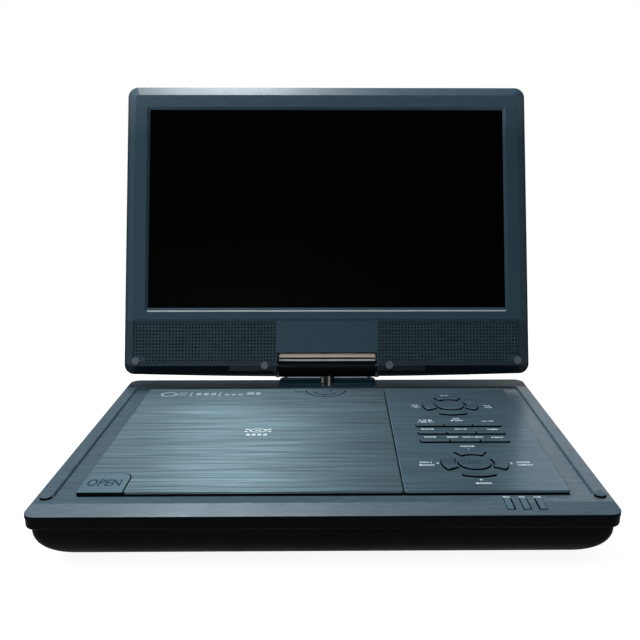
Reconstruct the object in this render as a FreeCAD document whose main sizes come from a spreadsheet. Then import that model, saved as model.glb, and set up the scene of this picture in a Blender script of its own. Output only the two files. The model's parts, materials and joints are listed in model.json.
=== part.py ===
import FreeCAD, Part
import math
import os

import Sketcher
from FreeCAD import Placement, Rotation, Vector

os.makedirs("parts", exist_ok=True)
doc = FreeCAD.newDocument("portable_disc_player")

# Driving dimensions, in millimetres and degrees.
# Base pieces are drawn about the middle of the base, with z = 0 on the table.
# Screen pieces are drawn upright about the tilt axis, with y pointing to the back of the screen.
SIZES = {
    # Base outline and shells
    "base_width": 254.2,
    "base_depth": 187.6,
    "base_shift": -23.48,
    "case_corner": 6.0,
    "case_wall": 2.0,
    "foot_gap": 0.95,
    "split_height": 23.0,
    "frame_height": 25.2,
    "band_height": 4.5,
    "band_inset": 0.25,
    "bowl_inset": 2.2,
    "bowl_radius": 15.5,
    "bowl_corner": 5.0,
    "slope_width": 12.4,
    "slope_drop": 0.35,
    "lip_thick": 1.2,
    "lip_depth": 1.5,
    "fit_gap": 0.25,
    "run_gap": 0.05,
    # Recess and the raised plates in it
    "recess_depth": 1.0,
    "rim_side": 7.3,
    "rim_front": 18.8,
    "rim_back": 15.8,
    "plate_side": 10.2,
    "plate_front": 1.0,
    "plate_back": 7.6,
    "plate_height": 26.8,
    "plate_split": 35.3,
    "plate_gap": 0.6,
    "lid_thick": 2.0,
    "plate_edge": 0.35,
    "frame_edge": 0.7,
    "recess_edge": 0.6,
    # Disc well and the button in the corner of the lid
    "disc_shift": 0.1,
    "well_radius": 62.0,
    "well_rim": 3.0,
    "well_floor": 20.2,
    "well_floor_thick": 1.2,
    "open_width": 20.2,
    "open_depth": 20.2,
    "open_corner": 5.8,
    # Lid hinge and latch
    "lid_axis_gap": 1.5,
    "lid_axis_z": 24.9,
    "knuckle_radius": 1.1,
    "knuckle_width": 8.0,
    "knuckle_side": 20.0,
    "lid_pin_radius": 0.55,
    "ear_width": 2.6,
    "knuckle_reach": 2.0,
    "hook_side": 19.4,
    "hook_front": 1.4,
    "hook_width": 6.0,
    "hook_thick": 1.4,
    "hook_reach": 1.2,
    "latch_depth": 3.2,
    # Keys
    "key_proud": 0.8,
    "key_travel": 0.5,
    "key_width": 14.9,
    "key_depth": 4.4,
    "key_pitch": 15.5,
    "row_pitch": 11.05,
    "keys_shift": -0.7,
    "rows_shift": -3.6,
    "ring_upper": 42.8,
    "ring_lower": -39.2,
    "ring_inner": 9.6,
    "ring_outer": 15.9,
    "ring_sweep": 62.0,
    "dome_radius": 7.8,
    "key_gap": 0.45,
    "key_corner": 1.0,
    "key_edge": 0.25,
    "key_flange": 0.9,
    "flange_reach": 0.6,
    "mat_thick": 1.4,
    "board_thick": 1.6,
    "keybay_side": 6.0,
    "keybay_shift": 1.2,
    "keybay_depth": 126.0,
    "ring_slack": 2.0,
    # Indicator windows and rubber stops
    "window_side": 40.1,
    "window_front": 10.0,
    "window_pitch": 7.0,
    "window_width": 2.8,
    "window_length": 9.6,
    "window_rise": 0.35,
    "stop_side": 5.0,
    "stop_front": 17.8,
    "stop_radius": 2.5,
    "stop_height": 0.9,
    # Feet and case screws
    "foot_clear": 1.5,
    "foot_side": 22.35,
    "foot_inset": 24.8,
    "foot_radius": 5.0,
    "foot_sink": 0.8,
    "screw_side": 69.1,
    "screw_front": 23.8,
    "edge_screw_side": 16.1,
    "edge_screw_y": -24.0,
    "screw_radius": 1.25,
    "head_radius": 2.4,
    "head_thick": 1.6,
    "boss_radius": 3.4,
    "boss_joint": 20.0,
    # Optical drive
    "chassis_z": 12.5,
    "chassis_thick": 1.5,
    "chassis_left": 58.0,
    "chassis_right": 74.0,
    "chassis_depth": 96.0,
    "post_x": 54.0,
    "post_y": 43.0,
    "post_radius": 3.4,
    "motor_radius": 11.5,
    "motor_height": 7.0,
    "shaft_radius": 1.0,
    "table_radius": 14.6,
    "table_thick": 1.2,
    "disc_seat": 21.8,
    "hub_radius": 7.4,
    "hub_height": 2.4,
    "rail_radius": 1.5,
    "rail_spread": 14.0,
    "rail_z": 15.6,
    "rail_length": 60.0,
    "rail_holder": 5.0,
    "sled_start": 12.0,
    "sled_length": 24.0,
    "sled_width": 34.0,
    "sled_height": 6.0,
    "lens_radius": 3.6,
    "lens_top": 20.9,
    "screw_offset": 22.2,
    "lead_radius": 1.4,
    "sled_motor_radius": 5.0,
    "sled_motor_length": 12.0,
    # Battery and main board
    "battery_width": 55.0,
    "battery_length": 119.0,
    "battery_height": 9.0,
    "door_lip": 2.0,
    "door_thick": 1.2,
    "pull_width": 19.0,
    "pull_depth": 3.0,
    "pull_inset": 6.0,
    "board_width": 88.0,
    "board_length": 112.0,
    "board_shift": 0.2,
    "board_z": 4.6,
    # Sockets on the right side
    "socket_y": 38.0,
    "socket_length": 66.0,
    "socket_low": 7.4,
    "socket_high": 17.6,
    "socket_recess": 10.3,
    "socket_thick": 1.5,
    "socket_z": 12.5,
    "phones_y": 46.5,
    "video_y": 36.0,
    "dc_y": 60.0,
    "usb_y": 23.0,
    "switch_y": 10.5,
    "collar_reach": 0.4,
    "jack_radius": 1.8,
    "jack_length": 15.0,
    "jack_width": 8.0,
    "jack_height": 7.0,
    "collar_radius": 3.0,
    "dc_radius": 2.8,
    "dc_length": 11.0,
    "dc_width": 9.0,
    "dc_height": 8.6,
    "dc_pin_radius": 1.0,
    "usb_width": 13.1,
    "usb_height": 5.7,
    "usb_length": 14.0,
    "usb_wall": 0.5,
    "switch_travel": 3.0,
    "switch_knob": 5.0,
    "switch_height": 2.8,
    # Swivel post and hinge barrel
    "hinge_inset": 10.1,
    "hinge_z": 38.0,
    "screen_lean": 16.8,
    "pivot_radius": 3.0,
    "post_visible": 4.5,
    "washer_reach": 0.8,
    "washer_thick": 0.6,
    "hump_radius": 6.0,
    "hump_height": 0.3,
    "bracket_z": 19.2,
    "bracket_thick": 1.6,
    "bush_radius": 4.2,
    "barrel_radius": 7.5,
    "barrel_length": 61.0,
    "barrel_wall": 1.6,
    "barrel_edge": 0.6,
    "seam_angle": 51.0,
    "seam_gap": 0.35,
    "pin_radius": 2.5,
    "pin_inner": 12.0,
    # Screen housing
    "screen_width": 254.2,
    "screen_top": 177.95,
    "screen_bottom": -5.5,
    "screen_corner": 6.4,
    "face_front": 10.0,
    "bevel_depth": 4.0,
    "face_width": 243.0,
    "face_top": 171.7,
    "face_bottom": -0.4,
    "screen_split": 2.0,
    "cover_back": 6.5,
    "cover_crown": 1.9,
    "cover_round": 3.0,
    "bow_depth": 1.7,
    "bow_width": 236.0,
    "skin": 2.0,
    "notch_width": 62.4,
    "notch_top": 7.85,
    "tab_width": 30.0,
    "tab_drop": 3.2,
    "display_width": 224.7,
    "display_height": 126.6,
    "display_bottom": 36.0,
    "display_bevel": 1.6,
    "groove_z": 28.1,
    "groove_width": 0.8,
    "groove_depth": 0.5,
    "grille_inner": 31.8,
    "grille_outer": 120.8,
    "grille_low": 0.5,
    "grille_high": 27.2,
    "grille_depth": 0.5,
    "speaker_x": 90.0,
    "speaker_z": 15.3,
    "speaker_radius": 13.0,
    "speaker_depth": 3.0,
    "speaker_rim": 1.5,
    "magnet_depth": 4.5,
    "hole_pitch": 2.04,
    "hole_radius": 0.55,
    "hole_field": 10.6,
    "cap_outer_x": 119.3,
    "cap_outer_z": 2.85,
    "cap_inner_x": 39.0,
    "cap_inner_z": -0.15,
    "cap_radius": 2.4,
    "cap_depth": 0.8,
    "module_depth": 3.4,
    "module_border": 2.5,
    "tray_thick": 1.2,
    "tray_margin": 1.5,
    "arm_height": 30.0,
    "arm_reach": 12.0,
    "arm_web": 2.5,
    "arm_foot": 1.6,
}

sheet = doc.addObject("Spreadsheet::Sheet", "Dims")
for row, (alias, number) in enumerate(SIZES.items(), start=1):
    sheet.set(f"A{row}", alias)
    sheet.set(f"B{row}", str(number))
    sheet.setAlias(f"B{row}", alias)
doc.recompute()


class Size:
    """A length that keeps its number and the sheet formula that it comes from."""

    def __init__(self, text, number):
        self.text = text
        self.number = float(number)

    def __float__(self):
        return self.number

    def __add__(self, other):
        return Size(f"({self.text} + {text_of(other)})", self.number + float(other))

    def __radd__(self, other):
        return Size(f"({text_of(other)} + {self.text})", self.number + float(other))

    def __sub__(self, other):
        return Size(f"({self.text} - {text_of(other)})", self.number - float(other))

    def __rsub__(self, other):
        return Size(f"({text_of(other)} - {self.text})", float(other) - self.number)

    def __mul__(self, other):
        return Size(f"({self.text} * {text_of(other)})", self.number * float(other))

    def __rmul__(self, other):
        return Size(f"({text_of(other)} * {self.text})", self.number * float(other))

    def __truediv__(self, other):
        return Size(f"({self.text} / {text_of(other)})", self.number / float(other))

    def __neg__(self):
        return Size(f"(0 - {self.text})", -self.number)


def text_of(value):
    if isinstance(value, Size):
        return value.text
    return f"({value:.9g})"


class Sheet:
    """Gives every alias of the sheet as a Size."""

    def __getattr__(self, alias):
        return Size(f"Dims.{alias}", sheet.get(alias))


d = Sheet()


def bind(obj, **properties):
    for name, value in properties.items():
        if isinstance(value, Size):
            obj.setExpression(name, value.text)
        else:
            setattr(obj, name, value)


def move(obj, x, y, z):
    for axis, value in zip("xyz", (x, y, z)):
        if isinstance(value, Size):
            obj.setExpression(f"Placement.Base.{axis}", value.text)
        elif value:
            obj.setExpression(f"Placement.Base.{axis}", text_of(value))


# Part primitives

def block(name, x, y, z):
    """A box between two corners, each range given as (low, high)."""
    obj = doc.addObject("Part::Box", name)
    bind(obj, Length=x[1] - x[0], Width=y[1] - y[0], Height=z[1] - z[0])
    move(obj, x[0], y[0], z[0])
    return obj


def around(middle, width):
    return (middle - width / 2, middle + width / 2)


AXES = {
    "x": Rotation(Vector(0, 1, 0), 90),
    "y": Rotation(Vector(1, 0, 0), -90),
    "z": Rotation(),
}


def rod(name, start, radius, length, axis="z"):
    """A round bar from its start point along an axis."""
    obj = doc.addObject("Part::Cylinder", name)
    obj.Placement = Placement(Vector(), AXES[axis])
    bind(obj, Radius=radius, Height=length)
    move(obj, *start)
    return obj


def cone(name, start, low_radius, high_radius, height):
    obj = doc.addObject("Part::Cone", name)
    bind(obj, Radius1=low_radius, Radius2=high_radius, Height=height)
    move(obj, *start)
    return obj


def sector(name, centre, radius, height, first, sweep):
    """A wedge of a disc, from one angle over a sweep."""
    obj = doc.addObject("Part::Cylinder", name)
    obj.Placement = Placement(Vector(), Rotation(Vector(0, 0, 1), first))
    bind(obj, Radius=radius, Height=height, Angle=sweep)
    move(obj, *centre)
    return obj


def fuse(name, shapes):
    obj = doc.addObject("Part::MultiFuse", name)
    obj.Shapes = shapes
    return obj


def group(name, shapes):
    obj = doc.addObject("Part::Compound", name)
    obj.Links = shapes
    return obj


def cut(name, base, tools):
    obj = doc.addObject("Part::Cut", name)
    obj.Base = base
    obj.Tool = tools[0] if len(tools) == 1 else fuse(name + "_tools", tools)
    return obj


# PartDesign helpers

def plane(body, role):
    for feature in body.Origin.OriginFeatures:
        if feature.Role == role:
            return feature
    raise ValueError("no plane " + role)


def new_body(name):
    return doc.addObject("PartDesign::Body", name)


def new_sketch(body, name, role="XY_Plane", offset=0.0):
    sketch = body.newObject("Sketcher::SketchObject", name)
    sketch.AttachmentSupport = [(plane(body, role), "")]
    sketch.MapMode = "FlatFace"
    bind(sketch, **{"AttachmentOffset.Base.z": offset}) if isinstance(offset, Size) else None
    return sketch


def pin_point(sketch, index, position, x, y):
    """Fixes a vertex by its two distances from the origin."""
    for kind, value in (("DistanceX", x), ("DistanceY", y)):
        number = sketch.addConstraint(
            Sketcher.Constraint(kind, -1, 1, index, position, float(value)))
        if isinstance(value, Size):
            sketch.setExpression(f"Constraints[{number}]", value.text)


def polygon(sketch, points):
    first = sketch.GeometryCount
    count = len(points)
    corners = [Vector(float(x), float(y), 0) for x, y in points]
    for i in range(count):
        sketch.addGeometry(Part.LineSegment(corners[i], corners[(i + 1) % count]), False)
    for i in range(count):
        sketch.addConstraint(
            Sketcher.Constraint("Coincident", first + i, 2, first + (i + 1) % count, 1))
    for i, (x, y) in enumerate(points):
        pin_point(sketch, first + i, 1, x, y)


def rectangle(sketch, x, y):
    polygon(sketch, [(x[0], y[0]), (x[1], y[0]), (x[1], y[1]), (x[0], y[1])])


def round_rectangle(sketch, x, y, radius):
    """A rectangle with four equal round corners, tied down by its corner centres."""
    first = sketch.GeometryCount
    x0, x1, y0, y1, r = float(x[0]), float(x[1]), float(y[0]), float(y[1]), float(radius)
    centres = [
        (x[1] - radius, y[0] + radius, -90),
        (x[1] - radius, y[1] - radius, 0),
        (x[0] + radius, y[1] - radius, 90),
        (x[0] + radius, y[0] + radius, 180),
    ]
    for cx, cy, start in centres:
        circle = Part.Circle(Vector(float(cx), float(cy), 0), Vector(0, 0, 1), r)
        a = math.radians(start)
        sketch.addGeometry(Part.ArcOfCircle(circle, a, a + math.pi / 2), False)
    sides = [
        (Vector(x1, y0 + r, 0), Vector(x1, y1 - r, 0)),
        (Vector(x1 - r, y1, 0), Vector(x0 + r, y1, 0)),
        (Vector(x0, y1 - r, 0), Vector(x0, y0 + r, 0)),
        (Vector(x0 + r, y0, 0), Vector(x1 - r, y0, 0)),
    ]
    for start, end in sides:
        sketch.addGeometry(Part.LineSegment(start, end), False)
    for i in range(4):
        arc = first + i
        side = first + 4 + i
        after = first + (i + 1) % 4
        sketch.addConstraint(Sketcher.Constraint("Tangent", arc, 2, side, 1))
        sketch.addConstraint(Sketcher.Constraint("Tangent", side, 2, after, 1))
        kind = "Vertical" if i % 2 == 0 else "Horizontal"
        sketch.addConstraint(Sketcher.Constraint(kind, side))
    for i in range(1, 4):
        sketch.addConstraint(Sketcher.Constraint("Equal", first, first + i))
    number = sketch.addConstraint(Sketcher.Constraint("Radius", first, r))
    if isinstance(radius, Size):
        sketch.setExpression(f"Constraints[{number}]", radius.text)
    pin_point(sketch, first, 3, centres[0][0], centres[0][1])
    pin_point(sketch, first + 2, 3, centres[2][0], centres[2][1])


def feature(body, kind, name, sketch, **properties):
    obj = body.newObject("PartDesign::" + kind, name)
    obj.Profile = sketch
    bind(obj, **properties)
    sketch.Visibility = False
    return obj


def pad(body, name, sketch, length, back=False):
    return feature(body, "Pad", name, sketch, Length=length, Reversed=back)


def pocket(body, name, sketch, depth, back=False):
    """Cuts against the sketch normal, or along it when back is set; a cut must remove volume."""
    doc.recompute()
    before = body.Shape.Volume
    obj = feature(body, "Pocket", name, sketch, Length=depth, Reversed=back)
    doc.recompute()
    if body.Shape.Volume >= before - 0.01:
        raise ValueError(name + " removes nothing")
    return obj


def loft(body, kind, name, sketches, ruled=False):
    obj = body.newObject("PartDesign::" + kind, name)
    obj.Profile = sketches[0]
    obj.Sections = sketches[1:]
    obj.Ruled = ruled
    return obj


def edges_where(shape, test):
    names = []
    for i, edge in enumerate(shape.Edges, start=1):
        if test(edge):
            names.append(f"Edge{i}")
    return names


def dress(body, kind, name, test, **properties):
    """Rounds or bevels the edges of the tip that pass the test."""
    doc.recompute()
    tip = body.Tip
    names = edges_where(tip.Shape, test)
    if not names:
        raise ValueError("no edges for " + name)
    obj = body.newObject("PartDesign::" + kind, name)
    obj.Base = (tip, names)
    bind(obj, **properties)
    return obj


def upright(edge):
    """True for an edge along z."""
    box = edge.BoundBox
    return box.ZLength > 0.1 and box.XLength < 0.01 and box.YLength < 0.01


def at_height(height):
    """A test for edges that lie at one height."""
    level = float(height)

    def test(edge):
        box = edge.BoundBox
        return abs(box.ZMin - level) < 0.01 and abs(box.ZMax - level) < 0.01

    return test


def soften(name, base, radius, test):
    """Rounds the edges of a finished shape that pass the test."""
    doc.recompute()
    obj = doc.addObject("Part::Fillet", name)
    obj.Base = base
    size = float(radius)
    obj.Edges = [(int(edge[4:]), size, size) for edge in edges_where(base.Shape, test)]
    return obj


def key_cap(name, base, top):
    """A key cap with round corners and a soft top edge."""
    cornered = soften(name + "_cornered", base, d.key_corner, upright)
    return soften(name + "_soft", cornered, d.key_edge, at_height(top))


# Nodes and their places

NODES = []


def node(name, obj, place):
    """Names a finished piece and puts it in the base, or leans it with the screen."""
    if obj.TypeId in ("Part::Box", "Part::Cylinder", "Part::Cone"):
        obj = group(name + "_piece", [obj])
    obj.Label = name
    if place == "base":
        obj.setExpression("Placement.Base.y", d.base_shift.text)
    else:
        obj.Placement = Placement(Vector(), Rotation(Vector(-1, 0, 0), float(d.screen_lean)))
        obj.setExpression("Placement.Rotation.Angle", d.screen_lean.text)
        obj.setExpression("Placement.Base.y", (d.base_shift + hinge_y).text)
        obj.setExpression("Placement.Base.z", d.hinge_z.text)
    NODES.append((name, obj))
    return obj


# Places that follow from the outline of the base

def middle(span):
    return (span[0] + span[1]) / 2


def within(span, low, high):
    """A range that lies inside another by a distance at each end."""
    return (span[0] + low, span[1] - high)


base_x = around(0.0 * d.base_width, d.base_width)
base_y = around(0.0 * d.base_depth, d.base_depth)
recess_x = within(base_x, d.rim_side, d.rim_side)
recess_y = within(base_y, d.rim_front, d.rim_back)
plate_x = within(recess_x, d.plate_side, d.plate_side)
plate_y = within(recess_y, d.plate_front, d.plate_back)
lid_x = (plate_x[0], d.plate_split - d.plate_gap / 2)
panel_x = (d.plate_split + d.plate_gap / 2, plate_x[1])
open_x = (plate_x[0], plate_x[0] + d.open_width)
open_y = (plate_y[0], plate_y[0] + d.open_depth)

disc_x = middle(lid_x) + d.disc_shift
disc_y = middle(plate_y)
lid_axis_y = plate_y[1] + d.lid_axis_gap
hook_x = open_x[1] + d.hook_side
hook_y = plate_y[0] + d.hook_front
keys_x = middle(panel_x) + d.keys_shift
rows_y = disc_y + d.rows_shift
keybay_x = within(panel_x, d.keybay_side, d.keybay_side)
keybay_y = around(rows_y + d.keybay_shift, d.keybay_depth)
window_x = base_x[1] - d.window_side
window_y = base_y[0] + d.window_front
stop_x = base_x[1] - d.stop_side
stop_y = base_y[0] + d.stop_front
hinge_y = base_y[1] - d.hinge_inset

foot_x = base_x[1] - d.foot_side
door_edge = d.door_lip + d.fit_gap
battery_x = foot_x - d.foot_radius - d.foot_clear - door_edge - d.battery_width / 2
board_x = disc_x + d.board_shift
socket_face = base_x[1] - d.socket_recess

recess_floor = d.frame_height - d.recess_depth
bowl_middle = d.foot_gap + d.bowl_radius
band_low = d.split_height - d.band_height
slope_back = base_y[0] + d.slope_width
lip_height = d.frame_height - d.slope_drop


# Lower case

def inset_outline(sketch, inset, radius):
    round_rectangle(
        sketch,
        (base_x[0] + inset, base_x[1] - inset),
        (base_y[0] + inset, base_y[1] - inset),
        radius)


def bowl_sections(body, prefix, shrink):
    """Outlines that follow a quarter circle from the side wall down to the floor."""
    sections = []
    steps = 5
    for i in range(steps + 1):
        turn = math.pi / 2 * i / steps
        radius = d.bowl_radius - shrink
        inset = d.bowl_inset + shrink + radius * (1 - math.cos(turn))
        corner = d.bowl_corner - shrink * 0.9 + radius * (0.55 * (1 - math.cos(turn)))
        height = bowl_middle - radius * math.sin(turn)
        sketch = new_sketch(body, f"{prefix}_{i}", offset=height)
        inset_outline(sketch, inset, corner)
        sections.append(sketch)
    return sections


def under_band(edge):
    """True for the outer edge at the bottom of the band."""
    box = edge.BoundBox
    low = float(band_low)
    if abs(box.ZMin - low) > 0.01 or abs(box.ZMax - low) > 0.01:
        return False
    reach = float(d.bowl_inset) - 0.1
    wide = max(abs(box.XMin), abs(box.XMax))
    deep = max(abs(box.YMin), abs(box.YMax))
    return wide > float(base_x[1]) - reach or deep > float(base_y[1]) - reach


def make_lower_case():
    body = new_body("lower_outer")
    doc.recompute()
    loft(body, "AdditiveLoft", "bowl", bowl_sections(body, "bowl_section", 0.0 * d.case_wall))
    wall = new_sketch(body, "wall_outline", offset=bowl_middle)
    inset_outline(wall, d.bowl_inset, d.bowl_corner)
    pad(body, "wall_pad", wall, band_low - bowl_middle)
    band = new_sketch(body, "band_outline", offset=band_low)
    inset_outline(band, d.band_inset, d.case_corner - d.band_inset)
    pad(body, "band_pad", band, d.band_height)
    dress(body, "Fillet", "band_round", under_band, Radius=1.2)

    hollow = new_body("lower_hollow")
    doc.recompute()
    loft(hollow, "AdditiveLoft", "hollow_bowl", bowl_sections(hollow, "hollow_section", d.case_wall))
    inner = new_sketch(hollow, "hollow_wall", offset=bowl_middle)
    inset_outline(inner, d.bowl_inset + d.case_wall, d.bowl_corner - d.case_wall * 0.9)
    pad(hollow, "hollow_pad", inner, d.split_height - bowl_middle + 1)
    ledge = new_sketch(hollow, "hollow_ledge", offset=d.boss_joint + 0.5)
    inset_outline(ledge, d.band_inset + d.case_wall, d.case_corner - d.case_wall)
    pad(hollow, "ledge_pad", ledge, d.split_height - d.boss_joint + 0.5)
    doc.recompute()

    floor = d.foot_gap + d.case_wall
    bottom = d.foot_gap - 1
    kept = []
    holes = []
    for i, (x, y) in enumerate(screw_places()):
        kept.append(rod(f"low_boss_{i}", (x, y, bottom), d.boss_radius, d.boss_joint - bottom))
        holes.append(rod(f"low_head_{i}", (x, y, bottom), d.head_radius + d.fit_gap, d.head_thick + 1))
        holes.append(rod(f"low_shank_{i}", (x, y, bottom), d.screw_radius + d.run_gap,
                         d.boss_joint - bottom + 1))
    for i, (x, y) in enumerate(drive_posts()):
        kept.append(rod(f"drive_post_{i}", (x, y, bottom), d.post_radius, d.chassis_z - bottom))
    for side in (-1, 1):
        kept.append(rod(f"bracket_post_{side + 1}", (side * bracket_half() * 0.8, bracket_post_y(), bottom),
                        d.boss_radius, d.bracket_z - bottom))
    for i, (x, y) in enumerate(foot_places()):
        holes.append(rod(f"foot_seat_{i}", (x, y, bottom), d.foot_radius + d.run_gap, d.foot_sink + 1))
    bay_x = around(battery_x, d.battery_width + d.fit_gap * 2)
    bay_y = around(0.0 * d.battery_length, d.battery_length + d.fit_gap * 2)
    rim = d.case_wall * 0.75
    rib_top = floor + d.battery_height * 0.7
    kept.append(block("bay_rib", (bay_x[0] - rim, bay_x[1] + rim), (bay_y[0] - rim, bay_y[1] + rim),
                      (bottom, rib_top)))
    kept.append(block("socket_surround", (socket_face, base_x[1] + 1),
                      around(d.socket_y, d.socket_length + 3.2), (d.socket_low - 1.4, d.socket_high + 1.4)))
    holes.append(block("bay_opening", bay_x, bay_y, (bottom, rib_top + 1)))
    holes.append(block("door_seat", (bay_x[0] - d.door_lip, bay_x[1] + d.door_lip),
                       (bay_y[0] - d.door_lip, bay_y[1] + d.door_lip),
                       (bottom, d.foot_gap + d.door_thick)))
    holes.append(block("socket_opening", (socket_face - 1, base_x[1] + 1),
                       around(d.socket_y, d.socket_length), (1.0 * d.socket_low, 1.0 * d.socket_high)))
    room = cut("lower_room", hollow, kept)
    node("lower_case", cut("lower_case", body, [room] + holes), "base")


def screw_places():
    x = base_x[1] - d.screw_side
    y = base_y[1] - d.screw_front
    places = [(x, y), (-x, y), (x, -y), (-x, -y)]
    for side in (-1, 1):
        places.append(((base_x[1] - d.edge_screw_side) * side, 1.0 * d.edge_screw_y))
    return places


def drive_posts():
    places = []
    for sx in (-1, 1):
        for sy in (-1, 1):
            places.append((disc_x + d.post_x * sx, disc_y + d.post_y * sy))
    return places


def foot_places():
    """Four feet, the right pair just outside the battery door."""
    y = base_y[1] - d.foot_inset
    return [(foot_x * sx, y * sy) for sx in (-1, 1) for sy in (-1, 1)]


def bracket_half():
    return d.notch_width * 0.36


def bracket_post_y():
    return hinge_y - d.boss_radius * 1.2


make_lower_case()


# Upper case

def slope_wedge(name, lower):
    """Everything above the sloped front edge, moved down by an allowance."""
    body = new_body(name)
    doc.recompute()
    sketch = new_sketch(body, name + "_profile", "YZ_Plane", base_x[0] - 1)
    reach = 1.0
    rate = d.slope_drop / d.slope_width
    polygon(sketch, [
        (base_y[0] - reach, lip_height - rate * reach - lower),
        (slope_back, d.frame_height - lower),
        (slope_back + 8.0, d.frame_height - lower),
        (slope_back + 8.0, d.frame_height + reach),
        (base_y[0] - reach, d.frame_height + reach),
    ])
    pad(body, name + "_pad", sketch, d.base_width + 2)
    return body


def knuckle_spots():
    return [lid_x[0] + d.knuckle_side, lid_x[1] - d.knuckle_side]


def make_upper_case():
    body = new_body("upper_shell")
    doc.recompute()
    outline = new_sketch(body, "frame_outline", offset=d.split_height)
    inset_outline(outline, 0.0 * d.band_inset, d.case_corner)
    pad(body, "frame_pad", outline, d.frame_height - d.split_height)
    lip = new_sketch(body, "lip_outline", offset=d.split_height)
    lip_inset = d.band_inset + d.case_wall + d.fit_gap
    inset_outline(lip, lip_inset, d.case_corner - lip_inset)
    inset_outline(lip, lip_inset + d.lip_thick, d.case_corner - lip_inset - d.lip_thick)
    pad(body, "lip_pad", lip, d.lip_depth, back=True)
    recess = new_sketch(body, "recess_outline", offset=d.frame_height)
    round_rectangle(recess, recess_x, recess_y, d.bowl_corner / 2)
    pocket(body, "recess_pocket", recess, d.recess_depth)
    top_edge = at_height(d.frame_height)
    rim = float(base_x[1]) - 3.0
    rim_y = float(base_y[1]) - 3.0

    def outer_edge(edge):
        box = edge.BoundBox
        return top_edge(edge) and (max(abs(box.XMin), abs(box.XMax)) > rim or box.YMax > rim_y
                                   or box.YMin < -rim_y)

    def recess_edge(edge):
        return top_edge(edge) and not outer_edge(edge)

    dress(body, "Fillet", "frame_edge_round", outer_edge, Radius=d.frame_edge)
    dress(body, "Chamfer", "recess_edge_bevel", recess_edge, Size=d.recess_edge)
    doc.recompute()

    extras = []
    holes = [slope_wedge("frame_slope", 0)]
    for i, (x, y) in enumerate(screw_places()):
        extras.append(rod(f"up_boss_{i}", (x, y, d.boss_joint), d.boss_radius,
                          d.split_height - d.boss_joint + 0.5))
        holes.append(rod(f"up_thread_{i}", (x, y, d.boss_joint - 1), d.screw_radius + d.run_gap,
                         d.split_height - d.boss_joint + 1.4))
    extras.append(cone("post_hump", (0, hinge_y, d.split_height + 0.5), d.hump_radius + 0.8,
                       d.hump_radius - 0.8, d.frame_height - d.split_height - 0.5 + d.hump_height))
    holes.append(rod("post_hole", (0, hinge_y, d.split_height - 1), d.post_visible + d.fit_gap,
                     d.frame_height - d.split_height + d.hump_height + 2))
    ear_y = around(lid_axis_y, d.knuckle_radius * 2)
    for i, x in enumerate(knuckle_spots()):
        half = d.knuckle_width / 2 + d.fit_gap
        for side in (-1, 1):
            near = x + half * side
            far = x + (half + d.ear_width) * side
            span = (far, near) if side < 0 else (near, far)
            extras.append(block(f"ear_foot_{i}_{side + 1}", span, ear_y,
                                (recess_floor - 0.5, 1.0 * d.lid_axis_z)))
            extras.append(rod(f"ear_{i}_{side + 1}", (span[0], lid_axis_y, d.lid_axis_z), d.knuckle_radius,
                              1.0 * d.ear_width, "x"))
        holes.append(rod(f"ear_bore_{i}", (x - half - d.ear_width - 1, lid_axis_y, d.lid_axis_z),
                         d.lid_pin_radius + d.run_gap, half * 2 + d.ear_width * 2 + 2, "x"))
        holes.append(rod(f"knuckle_room_{i}", (x - half, lid_axis_y, d.lid_axis_z),
                         d.knuckle_radius + d.fit_gap, half * 2, "x"))
    holes.append(rod("well_opening", (disc_x, disc_y, d.split_height - 1), d.well_radius, 5.0))
    holes.append(block("keybay_opening", keybay_x, keybay_y,
                       (d.split_height - 1, d.frame_height + 1)))
    room = d.fit_gap
    holes.append(block("open_opening", (open_x[0] - room, open_x[1] + room),
                       (open_y[0] - room, open_y[1] + room), (d.split_height - 1, d.frame_height + 1)))
    holes.append(block("hook_opening", around(hook_x, d.hook_width + room * 4),
                       (hook_y - 1.6, hook_y + d.hook_thick + d.hook_reach + 0.8),
                       (d.split_height - 1, d.frame_height + 1)))
    for i in (-1, 0, 1):
        holes.append(block(f"lens_opening_{i + 1}", around(window_x + d.window_pitch * i, d.window_width),
                           around(window_y, d.window_length), (d.split_height - 1, d.frame_height + 1)))
    for side in (-1, 1):
        holes.append(rod(f"stop_hole_{side + 1}", (stop_x * side, stop_y, d.split_height - 2),
                         d.stop_radius / 2 + d.run_gap, 5.0))
    whole = fuse("upper_whole", [body] + extras)
    node("upper_case", cut("upper_case", whole, holes), "base")


make_upper_case()


def make_disc_well():
    top = d.split_height - 0.1
    bottom = d.well_floor - d.well_floor_thick
    cup = rod("well_cup", (disc_x, disc_y, bottom), d.well_radius + d.well_rim, top - bottom)
    inside = rod("well_inside", (disc_x, disc_y, d.well_floor), d.well_radius, 5.0)
    centre = rod("well_centre", (disc_x, disc_y, bottom - 1), d.table_radius + 2.0, 5.0)
    slot = block("well_slot", (disc_x + d.table_radius, disc_x + d.well_radius - 2.0),
                 around(disc_y, d.lens_radius * 4), (bottom - 1, d.well_floor + 1))
    node("disc_well", cut("disc_well", cup, [inside, centre, slot]), "base")


make_disc_well()


# Lid, open button and latch

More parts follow.
